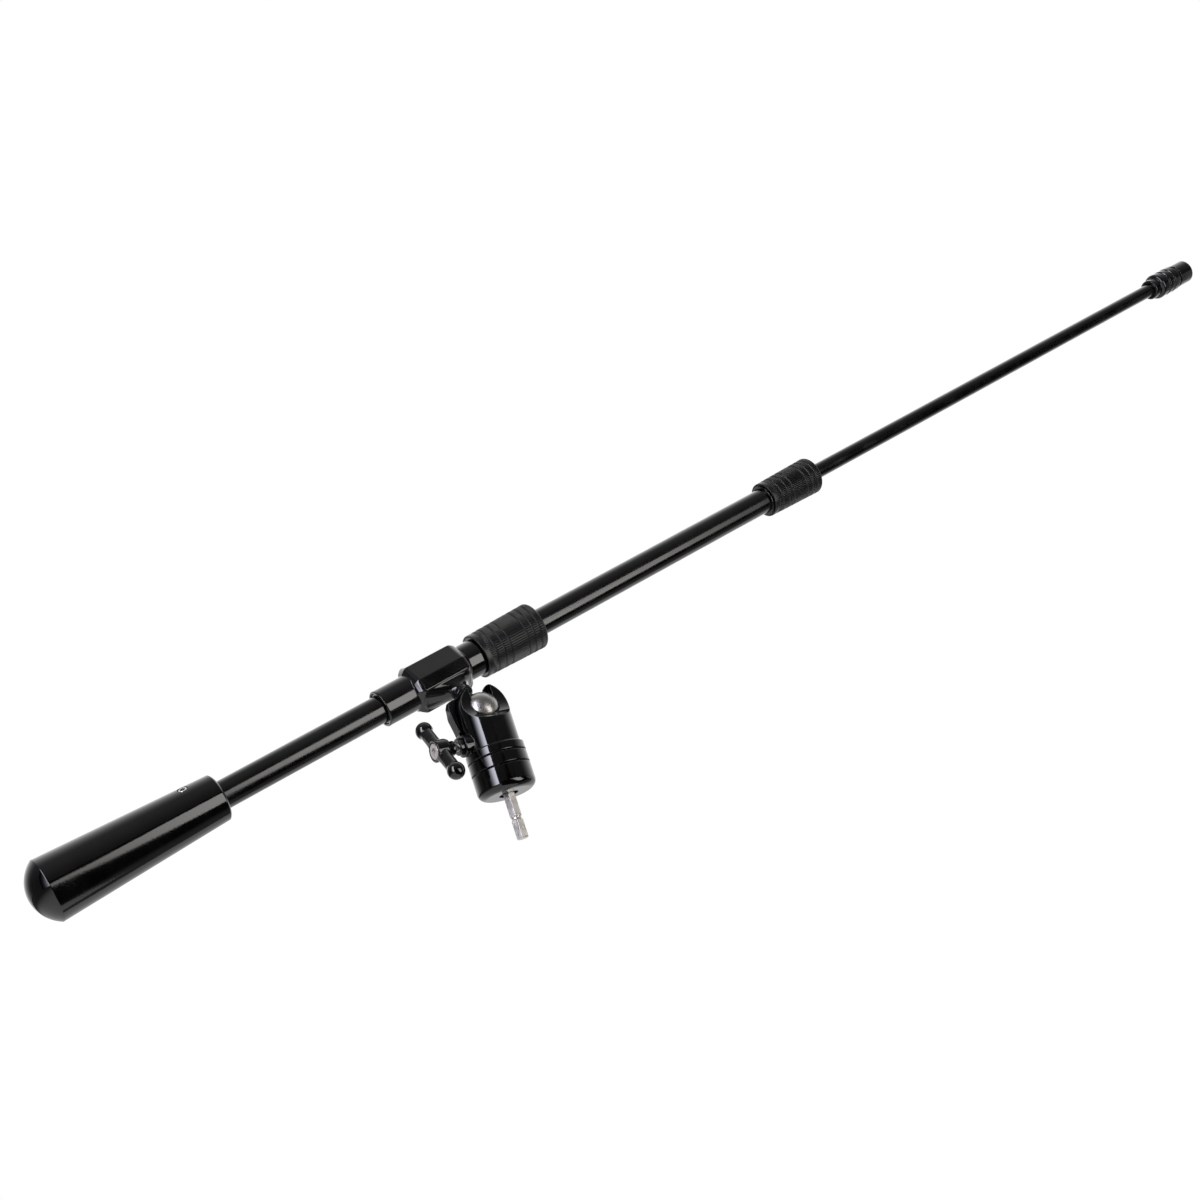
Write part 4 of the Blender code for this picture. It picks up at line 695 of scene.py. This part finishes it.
class ARM_OT_clamp(Builder):
    """Clamp screw's bush, the screw, the T-handle and the handle's screw"""

    bl_idname = "arm.clamp"
    bl_label = "Clamp"

    def build(self):
        c, place, gap = self.clamp, self.places["clamp"], self.boom.gap
        bush_bore, bush_wall, start = 0.0028, 0.0042, 0.0108
        flange = c.boss_reach + gap
        top = flange + 0.0022
        bush = [(bush_bore, start), (bush_wall, start), (bush_wall, flange), (c.flange, flange, 0.0002)]
        bush += [(c.flange, top, 0.0005), (bush_bore, top)]
        bush = shape("clamp_bush_fine", turned(eased(bush), 64))
        piece(bush, "head", place, "anodised_black", "clamp_bush")
        tapped, pitch = 0.0017, 0.0008
        screw_end = c.end - 0.0028
        hole_end = screw_end - 0.0051
        nose, at = 0.0036, 0.0066
        thread = [(0.0, nose), (0.0006, nose), (c.screw - 0.0001, at)]
        while at < c.start + 0.0006:
            thread += [(c.screw, at + 0.0002), (c.screw, at + 0.0003), (c.screw - 0.0003, at + 0.0005)]
            at += pitch
        thread += [(c.screw, at), (c.screw, screw_end), (tapped, screw_end)]
        thread += [(tapped, hole_end), (0.0, hole_end)]
        piece(shape("clamp_screw_fine", turned(thread, 48)), "clamp", place, "steel", "clamp_screw")

        bore, bore_end = c.screw + gap, screw_end + gap
        recess, recess_floor = c.head + gap, c.end - 0.0017
        hub = [(bore, c.start), (c.neck, c.start, 0.0006), (c.neck, c.bar - c.hub + 0.0005, 0.0015)]
        hub += [(c.hub, c.bar - c.neck + 0.0005, 0.0015), (c.hub, c.end, 0.0009), (recess, c.end)]
        hub += [(recess, recess_floor), (tapped, recess_floor), (tapped, bore_end), (bore, bore_end)]
        handle = shape("t_handle_fine", turned(eased(hub), 96))
        outline = arc(0.0, c.half, c.knob, 90, -38, 24)
        outline += [(c.waist, c.half - c.knob * 1.05), (c.waist, c.half * 0.45), (c.waist * 1.12, 0.0)]
        outline += [(radius, -height) for radius, height in reversed(outline[:-1])]
        across = Matrix.Translation((0, 0, c.bar)) @ Matrix.Rotation(math.pi / 2 + self.angles.bar, 4, "Z")
        across = across @ Matrix.Rotation(math.pi / 2, 4, "X")
        combine(handle, turned(outline[::-1], 64), "UNION", across)
        combine(handle, rod(c.hub * 2, c.end + 0.0001, c.end + 0.0040), "DIFFERENCE")
        combine(handle, rod(bore, c.start - 0.0005, bore_end), "DIFFERENCE")
        combine(handle, rod(tapped, c.start, c.end + 0.0005, 32), "DIFFERENCE")
        combine(handle, rod(recess, recess_floor, c.end + 0.0005), "DIFFERENCE")
        melt(handle, 0.00017, 5)
        piece(handle, "clamp", place, "gloss_black", "t_handle")

        low, shank = c.end - 0.0014, 0.0014
        tail = low - 0.0062
        screw = [(0.0, tail), (shank, tail), (shank, low), (c.head, low)]
        screw += [(c.head, c.end, 0.0003), (0.0, c.end)]
        screw = shape("handle_screw_fine", turned(eased(screw), 64))
        combine(screw, prism(hexagon(0.0040), c.end - 0.0012, c.end + 0.0005), "DIFFERENCE")
        piece(screw, "clamp", place, "stainless", "handle_screw")


class ARM_OT_ball(Builder):
    """Ball, its stem and the lock ring"""

    bl_idname = "arm.ball"
    bl_label = "Ball and stem"

    def build(self):
        z, b, place = self.head, self.boom, self.places["stem"]
        bore, floor = 0.0028, 0.0038
        bore_angle = math.degrees(math.acos(bore / z.ball))
        ball = arc(0.0, 0.0, z.ball, -90, bore_angle, 64) + [(bore, floor), (0.0, floor)]
        piece(shape("ball_fine", turned(ball, 128)), "ball", place, "ball_steel", "ball")
        ring_height = 0.0028
        ring = b.arm - FLARE - b.gap - ring_height
        ring_end = ring + ring_height
        tail, seat, end = 0.0041, z.ball + b.gap, b.arm - 0.0090
        thin, thick, neck = 0.0025, 0.0039, 0.0034
        stem = [(0.0, tail), (thin, tail), (thin, seat), (thick, seat, 0.0006)]
        stem += [(thick, ring_end), (neck, ring_end), (neck, end), (0.0, end)]
        piece(shape("ball_stem_fine", turned(eased(stem), 64)), "pivot", place, "gloss_black", "ball_stem")
        lock = pipe(0.0042, 0.0060, ring, ring_end, 64, 0.0005)
        piece(shape("stem_lock_ring_fine", lock), "pivot", place, "gloss_black", "stem_lock_ring")


class ARM_OT_pivot(Builder):
    """T-shaped pivot body"""

    bl_idname = "arm.pivot"
    bl_label = "Pivot body"

    def octagon(self, inset, z):
        """The block's section. Its corners are cut unevenly, so that they face the dark as in the photo."""
        half = self.boom.block - inset
        s = half - self.boom.corner * 1.14 + inset / 2
        t = half - self.boom.corner * 0.86 + inset / 2
        side = [(half, -t), (half, t), (s, half), (-s, half)]
        return [(x, y, z) for x, y in side + [(-x, -y) for x, y in side]]

    def flare(self, reach, half_length, half_width, squareness, shift):
        """A section of the flare: 4 is nearly square, 2 is round."""
        ring = []
        for i in range(64):
            angle = math.tau * i / 64
            cos, sin = math.cos(angle), math.sin(angle)
            shrink = (abs(cos) ** squareness + abs(sin) ** squareness) ** (-1.0 / squareness)
            ring.append((reach, half_width * shrink * sin, half_length * shrink * cos + shift))
        return ring

    def build(self):
        b, place, into = self.boom, self.places["boom"], 0.0028
        slope = ((0.0, 0.0027), (0.0005, 0.0021), (0.0020, 0.0009), (0.0032, 0.0002), (0.0042, 0.0))
        spans = [(b.block_at + part, inset) for part, inset in slope]
        spans += [(b.block_end - part, inset * 0.8) for part, inset in reversed(slope)]
        body = shape("pivot_body_fine", loft([self.octagon(inset, k) for k, inset in spans]))
        collar = [(0.0, b.collar_at), (b.collar, b.collar_at, 0.0006)]
        collar += [(b.collar, b.block_at + into), (0.0, b.block_at + into)]
        combine(body, turned(eased(collar), 128), "UNION")
        root, shoulder, end = b.block_end - into, b.clutch_at - b.gap * 2, 0.0500
        neck = [(0.0, root), (0.0109, root), (0.0109, shoulder)]
        neck += [(0.0098, shoulder), (0.0098, end), (0.0, end)]
        combine(body, turned(neck, 128), "UNION")
        flat = b.block - b.corner
        middle = (b.block_at + b.block_end) / 2
        rings = [self.flare(0.0095, 0.0160, flat, 4.0, middle)]
        tip, widening, steps = 0.0056, 0.0104, 14
        for i in range(steps + 1):
            part = i / steps
            ease = (1.0 - part) ** 2.4
            reach = b.block + (FLARE - b.block) * part
            half_length, half_width = tip + widening * ease, tip + (flat - tip) * ease
            rings.append(self.flare(reach, half_length, half_width, 2.0 + 2.0 * ease, middle * ease))
        combine(body, loft(rings), "UNION")
        wide, narrow = 0.0093, 0.0086
        rear, bush_end, collet, front = -0.0422, -0.0264, 0.0260, 0.0505
        bore = [(0.0, rear), (wide, rear), (wide, bush_end), (narrow, bush_end), (narrow, collet)]
        bore += [(wide, collet), (wide, front), (0.0, front)]
        combine(body, turned(bore, 128), "DIFFERENCE")
        combine(body, rod(0.0037, 0.0087, 0.0195, 48), "DIFFERENCE", SIDEWAYS)
        melt(body, 0.00024, 9)
        piece(body, "pivot", place, "satin_black", "pivot_body")


class ARM_OT_grips(Builder):
    """Ribbed rubber grips of the two clutches"""

    bl_idname = "arm.grips"
    bl_label = "Clutch grips"

    grooves = (0.165, 0.29, 0.40, 0.685, 0.79, 0.895)
    # one side of a groove: offset from its middle, drop of the surface, and how much rib is left
    groove_side = (
        *((-0.026, 0.0, 1.0), (-0.015, -0.0001, 0.8)),
        *((-0.010, -0.0006, 0.2), (-0.004, -0.00085, 0.0)),
    )
    # a rib and the notch after it, as shares of the notch's depth
    rib = (0.0, 0.0, 0.0, 0.7, 1.0, 0.7)
    notch_depth = 0.0005

    def grip(self, name, bore, rear, front, low, high, body, node):
        """Bands of fine ribs parted by grooves, with a plain rim and a rounded front."""
        long = high - low
        rim = 0.09
        stations = [(0.0, -0.0003, 0.0), (0.004, -0.00008, 0.0), (0.012, 0.0, 0.0)]
        stations += [(rim - 0.02, 0.0, 0.0), (rim, -0.0001, 0.6)]
        far_side = [(-offset, drop, ribbed) for offset, drop, ribbed in reversed(self.groove_side)]
        for place in self.grooves:
            for offset, drop, ribbed in (*self.groove_side, *far_side):
                stations.append((place + offset, drop, ribbed))
        over = (front - bore) * 0.72
        for step in range(7):
            angle = math.radians(15 * step)
            place = 1 - (1 - math.sin(angle)) * over / long
            stations.append((place, -over * (1 - math.cos(angle)), max(0, 1 - step / 3.5)))
        count = self.boom.ribs * len(self.rib)
        rings = []
        for place, drop, ribbed in stations:
            ring = []
            for i in range(count):
                angle = math.tau * i / count
                notch = self.notch_depth * ribbed * self.rib[i % len(self.rib)]
                radius = rear + (front - rear) * place + drop - notch
                ring.append((radius * math.cos(angle), radius * math.sin(angle), low + long * place))
            rings.append(ring)
        rings += [circle(bore, z, count) for z in (high, low)]
        piece(shape(name, loft(rings, True)), body, self.places["boom"], "rubber_black", node)

    def build(self):
        b, bevel = self.boom, 0.0010
        size = (0.0125, b.grip_rear, b.grip_front, b.clutch_at, b.clutch_end - bevel)
        self.grip("main_grip_fine", *size, "main_clutch", "main_clutch_grip")
        size = (0.0106, b.small_rear, b.small_front, b.small_at, b.small_end - bevel)
        self.grip("tube_grip_fine", *size, "tube_clutch", "tube_clutch_grip")


class ARM_OT_tubes(Builder):
    """Outer and inner tube, counterweight and ferrule"""

    bl_idname = "arm.tubes"
    bl_label = "Tubes and counterweight"

    def build(self):
        b, place = self.boom, self.places["boom"]
        outer_low, outer_high = -0.2320, b.small_at + 0.0145
        outer = pipe(0.0065, b.tube, outer_low, outer_high, 128)
        piece(shape("outer_tube_fine", outer), "boom", place, "anodised_black", "outer_tube")
        inner = pipe(0.0040, b.inner, 0.2150, b.coupler_at + 0.0130, 96)
        piece(shape("inner_tube_fine", inner), "inner", place, "anodised_black", "inner_tube")

        w, rim, chamfer, dome = b.weight, 0.0009, 0.0010, 0.0096
        dome_r = (dome**2 + w**2) / (2 * dome)
        drop = math.sqrt((dome_r - rim) ** 2 - (w - rim) ** 2)
        edge = -math.degrees(math.atan2(drop, w - rim))
        rim_at = b.tail + dome_r - drop
        end = outer_low - b.gap * 2 - 0.0015
        weight = arc(0.0, b.tail + dome_r, dome_r, -90, edge, 32) + arc(w - rim, rim_at, rim, edge, 0, 10)[1:]
        bore, flat = b.tube + b.gap, b.mouth - chamfer
        mouth, outside = b.mouth, b.weight_mouth
        front = [(w, rim_at + 0.0001), (outside, flat, 0.0004), (outside - chamfer, mouth, 0.0004)]
        front += [(bore + chamfer, mouth, 0.0002), (bore, flat), (bore, end), (0.0, end)]
        weight += eased(front)
        weight = shape("counterweight_fine", turned(weight, 160))
        hole = Matrix.Translation((0, 0, b.mouth - 0.0165)) @ Matrix.Rotation(self.angles.screw, 4, "Z")
        combine(weight, rod(0.0028, b.tube / 2, w * 2), "DIFFERENCE", hole @ SIDEWAYS)
        piece(weight, "boom", place, "weight_black", "counterweight")

        low, shoulder = b.small_at - 0.0012, b.small_at - b.gap
        thread_end, seat = low + 0.0285, low + 0.0160
        ferrule = [(bore, low), (0.0097, low, 0.0003), (0.0097, shoulder), (0.0092, shoulder)]
        ferrule += [(0.0092, thread_end), (0.0065, thread_end), (0.0065, seat), (bore, seat)]
        ferrule = turned(eased(ferrule), 96)
        piece(shape("tube_ferrule_fine", ferrule), "boom", place, "gloss_black", "tube_ferrule")


class ARM_OT_coupler(Builder):
    """Quick-change coupler and its sliding sleeve"""

    bl_idname = "arm.coupler"
    bl_label = "Coupler"

    def build(self):
        b, place = self.boom, self.places["boom"]
        at, r, core = b.coupler_at, b.coupler, 0.0063
        body_low, body_end, core_end = at + 0.0070, at + 0.0275, at + 0.0438
        hold, seat = b.inner + b.gap, at + 0.0130 + b.gap
        hole, floor = core + b.gap, at + 0.0170
        profile = [(hold, seat), (hold, at), (0.0074, at, 0.0009), (0.0074, body_low - 0.0005, 0.0003)]
        profile += [(r - 0.0008, body_low, 0.0005), (r, body_low + 0.0010, 0.0006)]
        for share in (0.36, 0.68):
            z = body_low + (body_end - body_low) * share
            profile += [(r, z - 0.0011, 0.0003), (r - 0.0008, z - 0.0005, 0.0003)]
            profile += [(r - 0.0008, z + 0.0005, 0.0003), (r, z + 0.0011, 0.0003)]
        profile += [(r, body_end, 0.0006), (0.0083, body_end), (0.0083, floor), (hole, floor), (hole, seat)]
        body = shape("coupler_body_fine", turned(eased(profile, 3), 96))
        clip = core_end - 0.0025
        profile = [(0.0, seat + b.gap), (core, seat + b.gap, 0.0003)]
        bed, clip_end = core - 0.0008, clip + 0.0013
        profile += [(core, clip), (bed, clip), (bed, clip_end), (core, clip_end)]
        profile += [(core, core_end, 0.0003), (0.0, core_end)]
        socket = shape("socket_core_fine", turned(eased(profile, 3), 96))
        combine(socket, prism(hexagon(0.00675), core_end - 0.0260, core_end + 0.0005), "DIFFERENCE")
        ball_z = core_end - 0.0139
        for i in range(3):
            hole = Matrix.Translation((0, 0, ball_z)) @ Matrix.Rotation(math.tau * (i + 0.25) / 3, 4, "Z")
            combine(socket, rod(0.0020, 0.0, core + 0.0003, 24), "DIFFERENCE", hole @ SIDEWAYS)
        piece(socket, "inner", place, "steel", "socket_core")
        hole = Matrix.Translation((0, 0, at + 0.0035)) @ Matrix.Rotation(self.angles.screw, 4, "Z")
        combine(body, rod(0.0015, 0.0025, 0.0079, 24), "DIFFERENCE", hole @ SIDEWAYS)
        piece(body, "inner", place, "anodised_black", "coupler_body")

        low, end, land, pocket = body_end + 0.0030, at + 0.0446, core + b.gap, 0.0076
        skirt, relief = low - 0.0047, ball_z + 0.0017
        slide = [(land, skirt), (0.0080, skirt), (0.0080, low), (b.sleeve, low, 0.0005)]
        slide += [(b.sleeve, end, 0.0016), (pocket, end), (pocket, clip - b.gap), (land, clip - b.gap)]
        slide += [(land, relief + 0.0036), (pocket, relief + 0.0026), (pocket, relief + 0.0010), (land, relief)]
        slide = turned(eased(slide), 96)
        piece(shape("coupler_sleeve_fine", slide), "sleeve", place, "anodised_black", "coupler_sleeve")


class ARM_OT_inside(Builder):
    """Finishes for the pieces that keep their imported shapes"""

    bl_idname = "arm.inside"
    bl_label = "Inside pieces"

    def build(self):
        slots = {entry["node"]: entry["material_slot"] for entry in frame["record"]["subparts"]}
        for name, obj in frame["nodes"].items():
            obj.data.materials.clear()
            obj.data.materials.append(finish(slots[name]))


class ARM_OT_stage(bpy.types.Operator):
    """Floor, light and camera"""

    bl_idname = "arm.stage"
    bl_label = "Stage"

    # edges of the long soft box, and of the dark frame behind it, from head to tip: how far along the
    # boom, and the upper and lower angle from the camera's side
    box_edges = (
        *((0.12, -16, -12), (0.25, -14, -3), (0.33, -9, 9), (0.38, -10, 16), (0.51, -10, 29)),
        *((0.77, -6, 40), (0.95, -9, 41), (1.14, 0, 42), (1.39, 2, 39), (1.87, 1, 42)),
    )
    frame_edges = (
        *((-1.60, -24, 100), (0.25, -22, 100), (0.51, -16, 100)),
        *((0.95, -15, 100), (1.39, -4, 100), (3.40, -3, 100)),
    )

    def execute(self, context):
        scene, setting = context.scene, context.scene.arm_stage
        right, forward = Vector(setting.right).normalized(), Vector(setting.forward).normalized()
        up = right.cross(forward)
        camera = bpy.data.objects.new("camera", bpy.data.cameras.new("camera"))
        camera.data.lens = setting.lens
        camera.data.clip_end = 80.0
        axes = Matrix((right, up, -forward)).transposed().to_4x4()
        camera.matrix_world = Matrix.Translation(setting.camera) @ axes
        scene.collection.objects.link(camera)
        scene.camera = camera
        self.floor(scene, setting)
        self.world(scene, setting, forward)
        self.boxes(setting, forward)
        self.strip(setting)
        scene.view_settings.view_transform = "Standard"
        return {"FINISHED"}

    def boxes(self, setting, forward):
        """The long soft box that gives the boom its bright band, and the dark frame behind it."""
        boom = places()["boom"]
        tee, along = boom.translation, boom.to_3x3() @ Vector((0, 0, 1))
        toward = (along * forward.dot(along) - forward).normalized()
        down = toward.cross(along).normalized()
        if down.z > 0:
            down = -down
        steps = 8

        def sheet(edges, distance):
            rows = []
            for axial, high, low in edges:
                angles = [math.radians(high + (low - high) * i / steps) for i in range(steps + 1)]
                ways = [toward * math.cos(angle) + down * math.sin(angle) for angle in angles]
                rows.append([tee + along * axial + way * distance for way in ways])
            return rows

        start, reach = tee.dot(along), setting.reach
        fades = ((start + 1.87, start + 1.20, 0.0, 1.0), (start + 0.20, start + 0.70, 0.5, 1.0))
        self.glow("long_box", sheet(self.box_edges, reach), along, fades, setting.table, (1.0, 0.98, 0.94))
        across = (down - toward).normalized()
        start = tee.dot(across)
        fades = ((start + reach * 0.22, start + reach * 0.62, 0.0, 1.0),)
        rows = sheet(self.frame_edges, reach + 0.03)
        self.glow("dark_frame", rows, across, fades, setting.below, (1.0, 1.0, 1.0))

    def strip(self, setting):
        """A tall strip light on the left that gives the head its upright highlight."""
        reach, foot, spacing = 1.8, 0.06, 0.35
        rows = []
        for bearing in range(-82, -41, 4):
            angle = math.radians(bearing)
            level = Vector((math.sin(angle), -math.cos(angle), 0.0))
            rows.append([level * reach + Vector((0.0, 0.0, foot + spacing * i)) for i in range(-1, 7)])
        across = (rows[-1][0] - rows[0][0]).normalized()
        fade = (rows[0][0].dot(across), rows[-1][0].dot(across) - 0.05, 0.0, 1.0)
        self.glow("left_strip", rows, across, (fade, fade), setting.side, (0.94, 0.95, 1.08))

    def glow(self, name, rows, along, fades, radiance, tint):
        """A sheet of light, or of shade, that only reflections see.

        A fade is two places along the sheet and the share of the radiance at each.
        """
        bm = bmesh.new()
        verts = [[bm.verts.new(point) for point in row] for row in rows]
        for near, far in zip(verts, verts[1:]):
            for i in range(len(near) - 1):
                bm.faces.new((near[i], near[i + 1], far[i + 1], far[i]))
        sheet = shape(name, bm)
        made, f = new_finish(name)
        at = f.along(f.place(), along)
        level = f.step(at, *fades[0]) * radiance
        for fade in fades[1:]:
            level = level * f.step(at, *fade)
        light = f.node("ShaderNodeEmission", {}, {"Color": (*tint, 1.0), "Strength": level})
        f.node("ShaderNodeOutputMaterial", {}, {"Surface": light})
        sheet.data.materials.append(made)
        sheet.visible_camera = sheet.visible_diffuse = sheet.visible_shadow = False

    def floor(self, scene, setting):
        """White to the camera and pale to the light. In reflections it dims to the far left."""
        bm = bmesh.new()
        bmesh.ops.create_grid(bm, x_segments=8, y_segments=8, size=30.0)
        floor = shape("floor", bm)
        floor.location.z = setting.floor
        made, f = new_finish("pale_floor")
        grain = f.noise(0.02, 3.0)
        paper = scene.arm_colours.paper
        base = f.mix(rgba(paper, 0.98), rgba(paper, 1.02), grain)
        plain = f.node("ShaderNodeBsdfPrincipled", {}, {"Base Color": base, "Roughness": 0.8})
        camera = f.ray("Camera")
        glossy = f.ray("Glossy")
        through = f.ray("Transmission")
        across = f.node("ShaderNodeSeparateXYZ", {}, {0: f.place()}, output="X")
        reflected = f.step(across, -6.0, -1.5, 0.10, 1.03)
        level = camera * 1.08 + (1 - camera) * reflected
        glow = f.node("ShaderNodeEmission", {}, {"Color": (1, 1, 1, 1), "Strength": level})
        seen = camera * 0.88 + glossy + through
        shader = f.node("ShaderNodeMixShader", {}, {0: seen, 1: plain, 2: glow})
        f.node("ShaderNodeOutputMaterial", {}, {"Surface": shader})
        floor.data.materials.append(made)

    def world(self, scene, setting, forward):
        """White behind the arm, dim in front of it and overhead."""
        world = bpy.data.worlds.new("studio")
        world.use_nodes = True
        scene.world = world
        f = Finish(world.node_tree)
        way = f.node("ShaderNodeTexCoord", output="Generated")
        ahead = f.along(way, forward)
        height = f.node("ShaderNodeSeparateXYZ", {}, {0: way}, output="Z")
        rear = f.step(ahead, 0.0, 1.0) * setting.rear
        front = f.step(height, 0.1, 1.2, 0.09, 0.36)
        camera = f.ray("Camera")
        glossy = f.ray("Glossy")
        reflected = rear + front
        lit = glossy * reflected + (1 - glossy) * setting.ambient
        level = camera + (1 - camera) * lit
        shader = f.node("ShaderNodeBackground", {}, {"Color": (1, 1, 1, 1), "Strength": level})
        f.node("ShaderNodeOutputWorld", {}, {"Surface": shader})


class ARM_PT_panel(bpy.types.Panel):
    """Lists the pieces' operators"""

    bl_label = "Boom Arm"
    bl_idname = "ARM_PT_panel"
    bl_space_type = "VIEW_3D"
    bl_region_type = "UI"
    bl_category = "Boom Arm"

    def draw(self, context):
        for operator in OPERATORS:
            self.layout.operator(operator.bl_idname)


OPERATORS = (
    ARM_OT_inside,
    ARM_OT_base,
    ARM_OT_housing,
    ARM_OT_clamp,
    ARM_OT_ball,
    ARM_OT_pivot,
    ARM_OT_grips,
    ARM_OT_tubes,
    ARM_OT_coupler,
    ARM_OT_stage,
)
GROUPS = {
    "arm_angles": ArmAngles,
    "head_sizes": HeadSizes,
    "clamp_sizes": ClampSizes,
    "boom_sizes": BoomSizes,
    "arm_colours": ArmColours,
    "arm_stage": StageSetting,
}


def register():
    for name, group in GROUPS.items():
        bpy.utils.register_class(group)
        setattr(bpy.types.Scene, name, PointerProperty(type=group))
    for operator in OPERATORS:
        bpy.utils.register_class(operator)
    bpy.utils.register_class(ARM_PT_panel)


def unregister():
    bpy.utils.unregister_class(ARM_PT_panel)
    for operator in reversed(OPERATORS):
        bpy.utils.unregister_class(operator)
    for name, group in reversed(GROUPS.items()):
        delattr(bpy.types.Scene, name)
        bpy.utils.unregister_class(group)


def main():
    for obj in list(bpy.data.objects):
        if obj.type in ("CAMERA", "LIGHT"):
            bpy.data.objects.remove(obj)
    register()
    for operator in OPERATORS:
        group, name = operator.bl_idname.split(".")
        getattr(getattr(bpy.ops, group), name)()


if __name__ == "__main__":
    main()
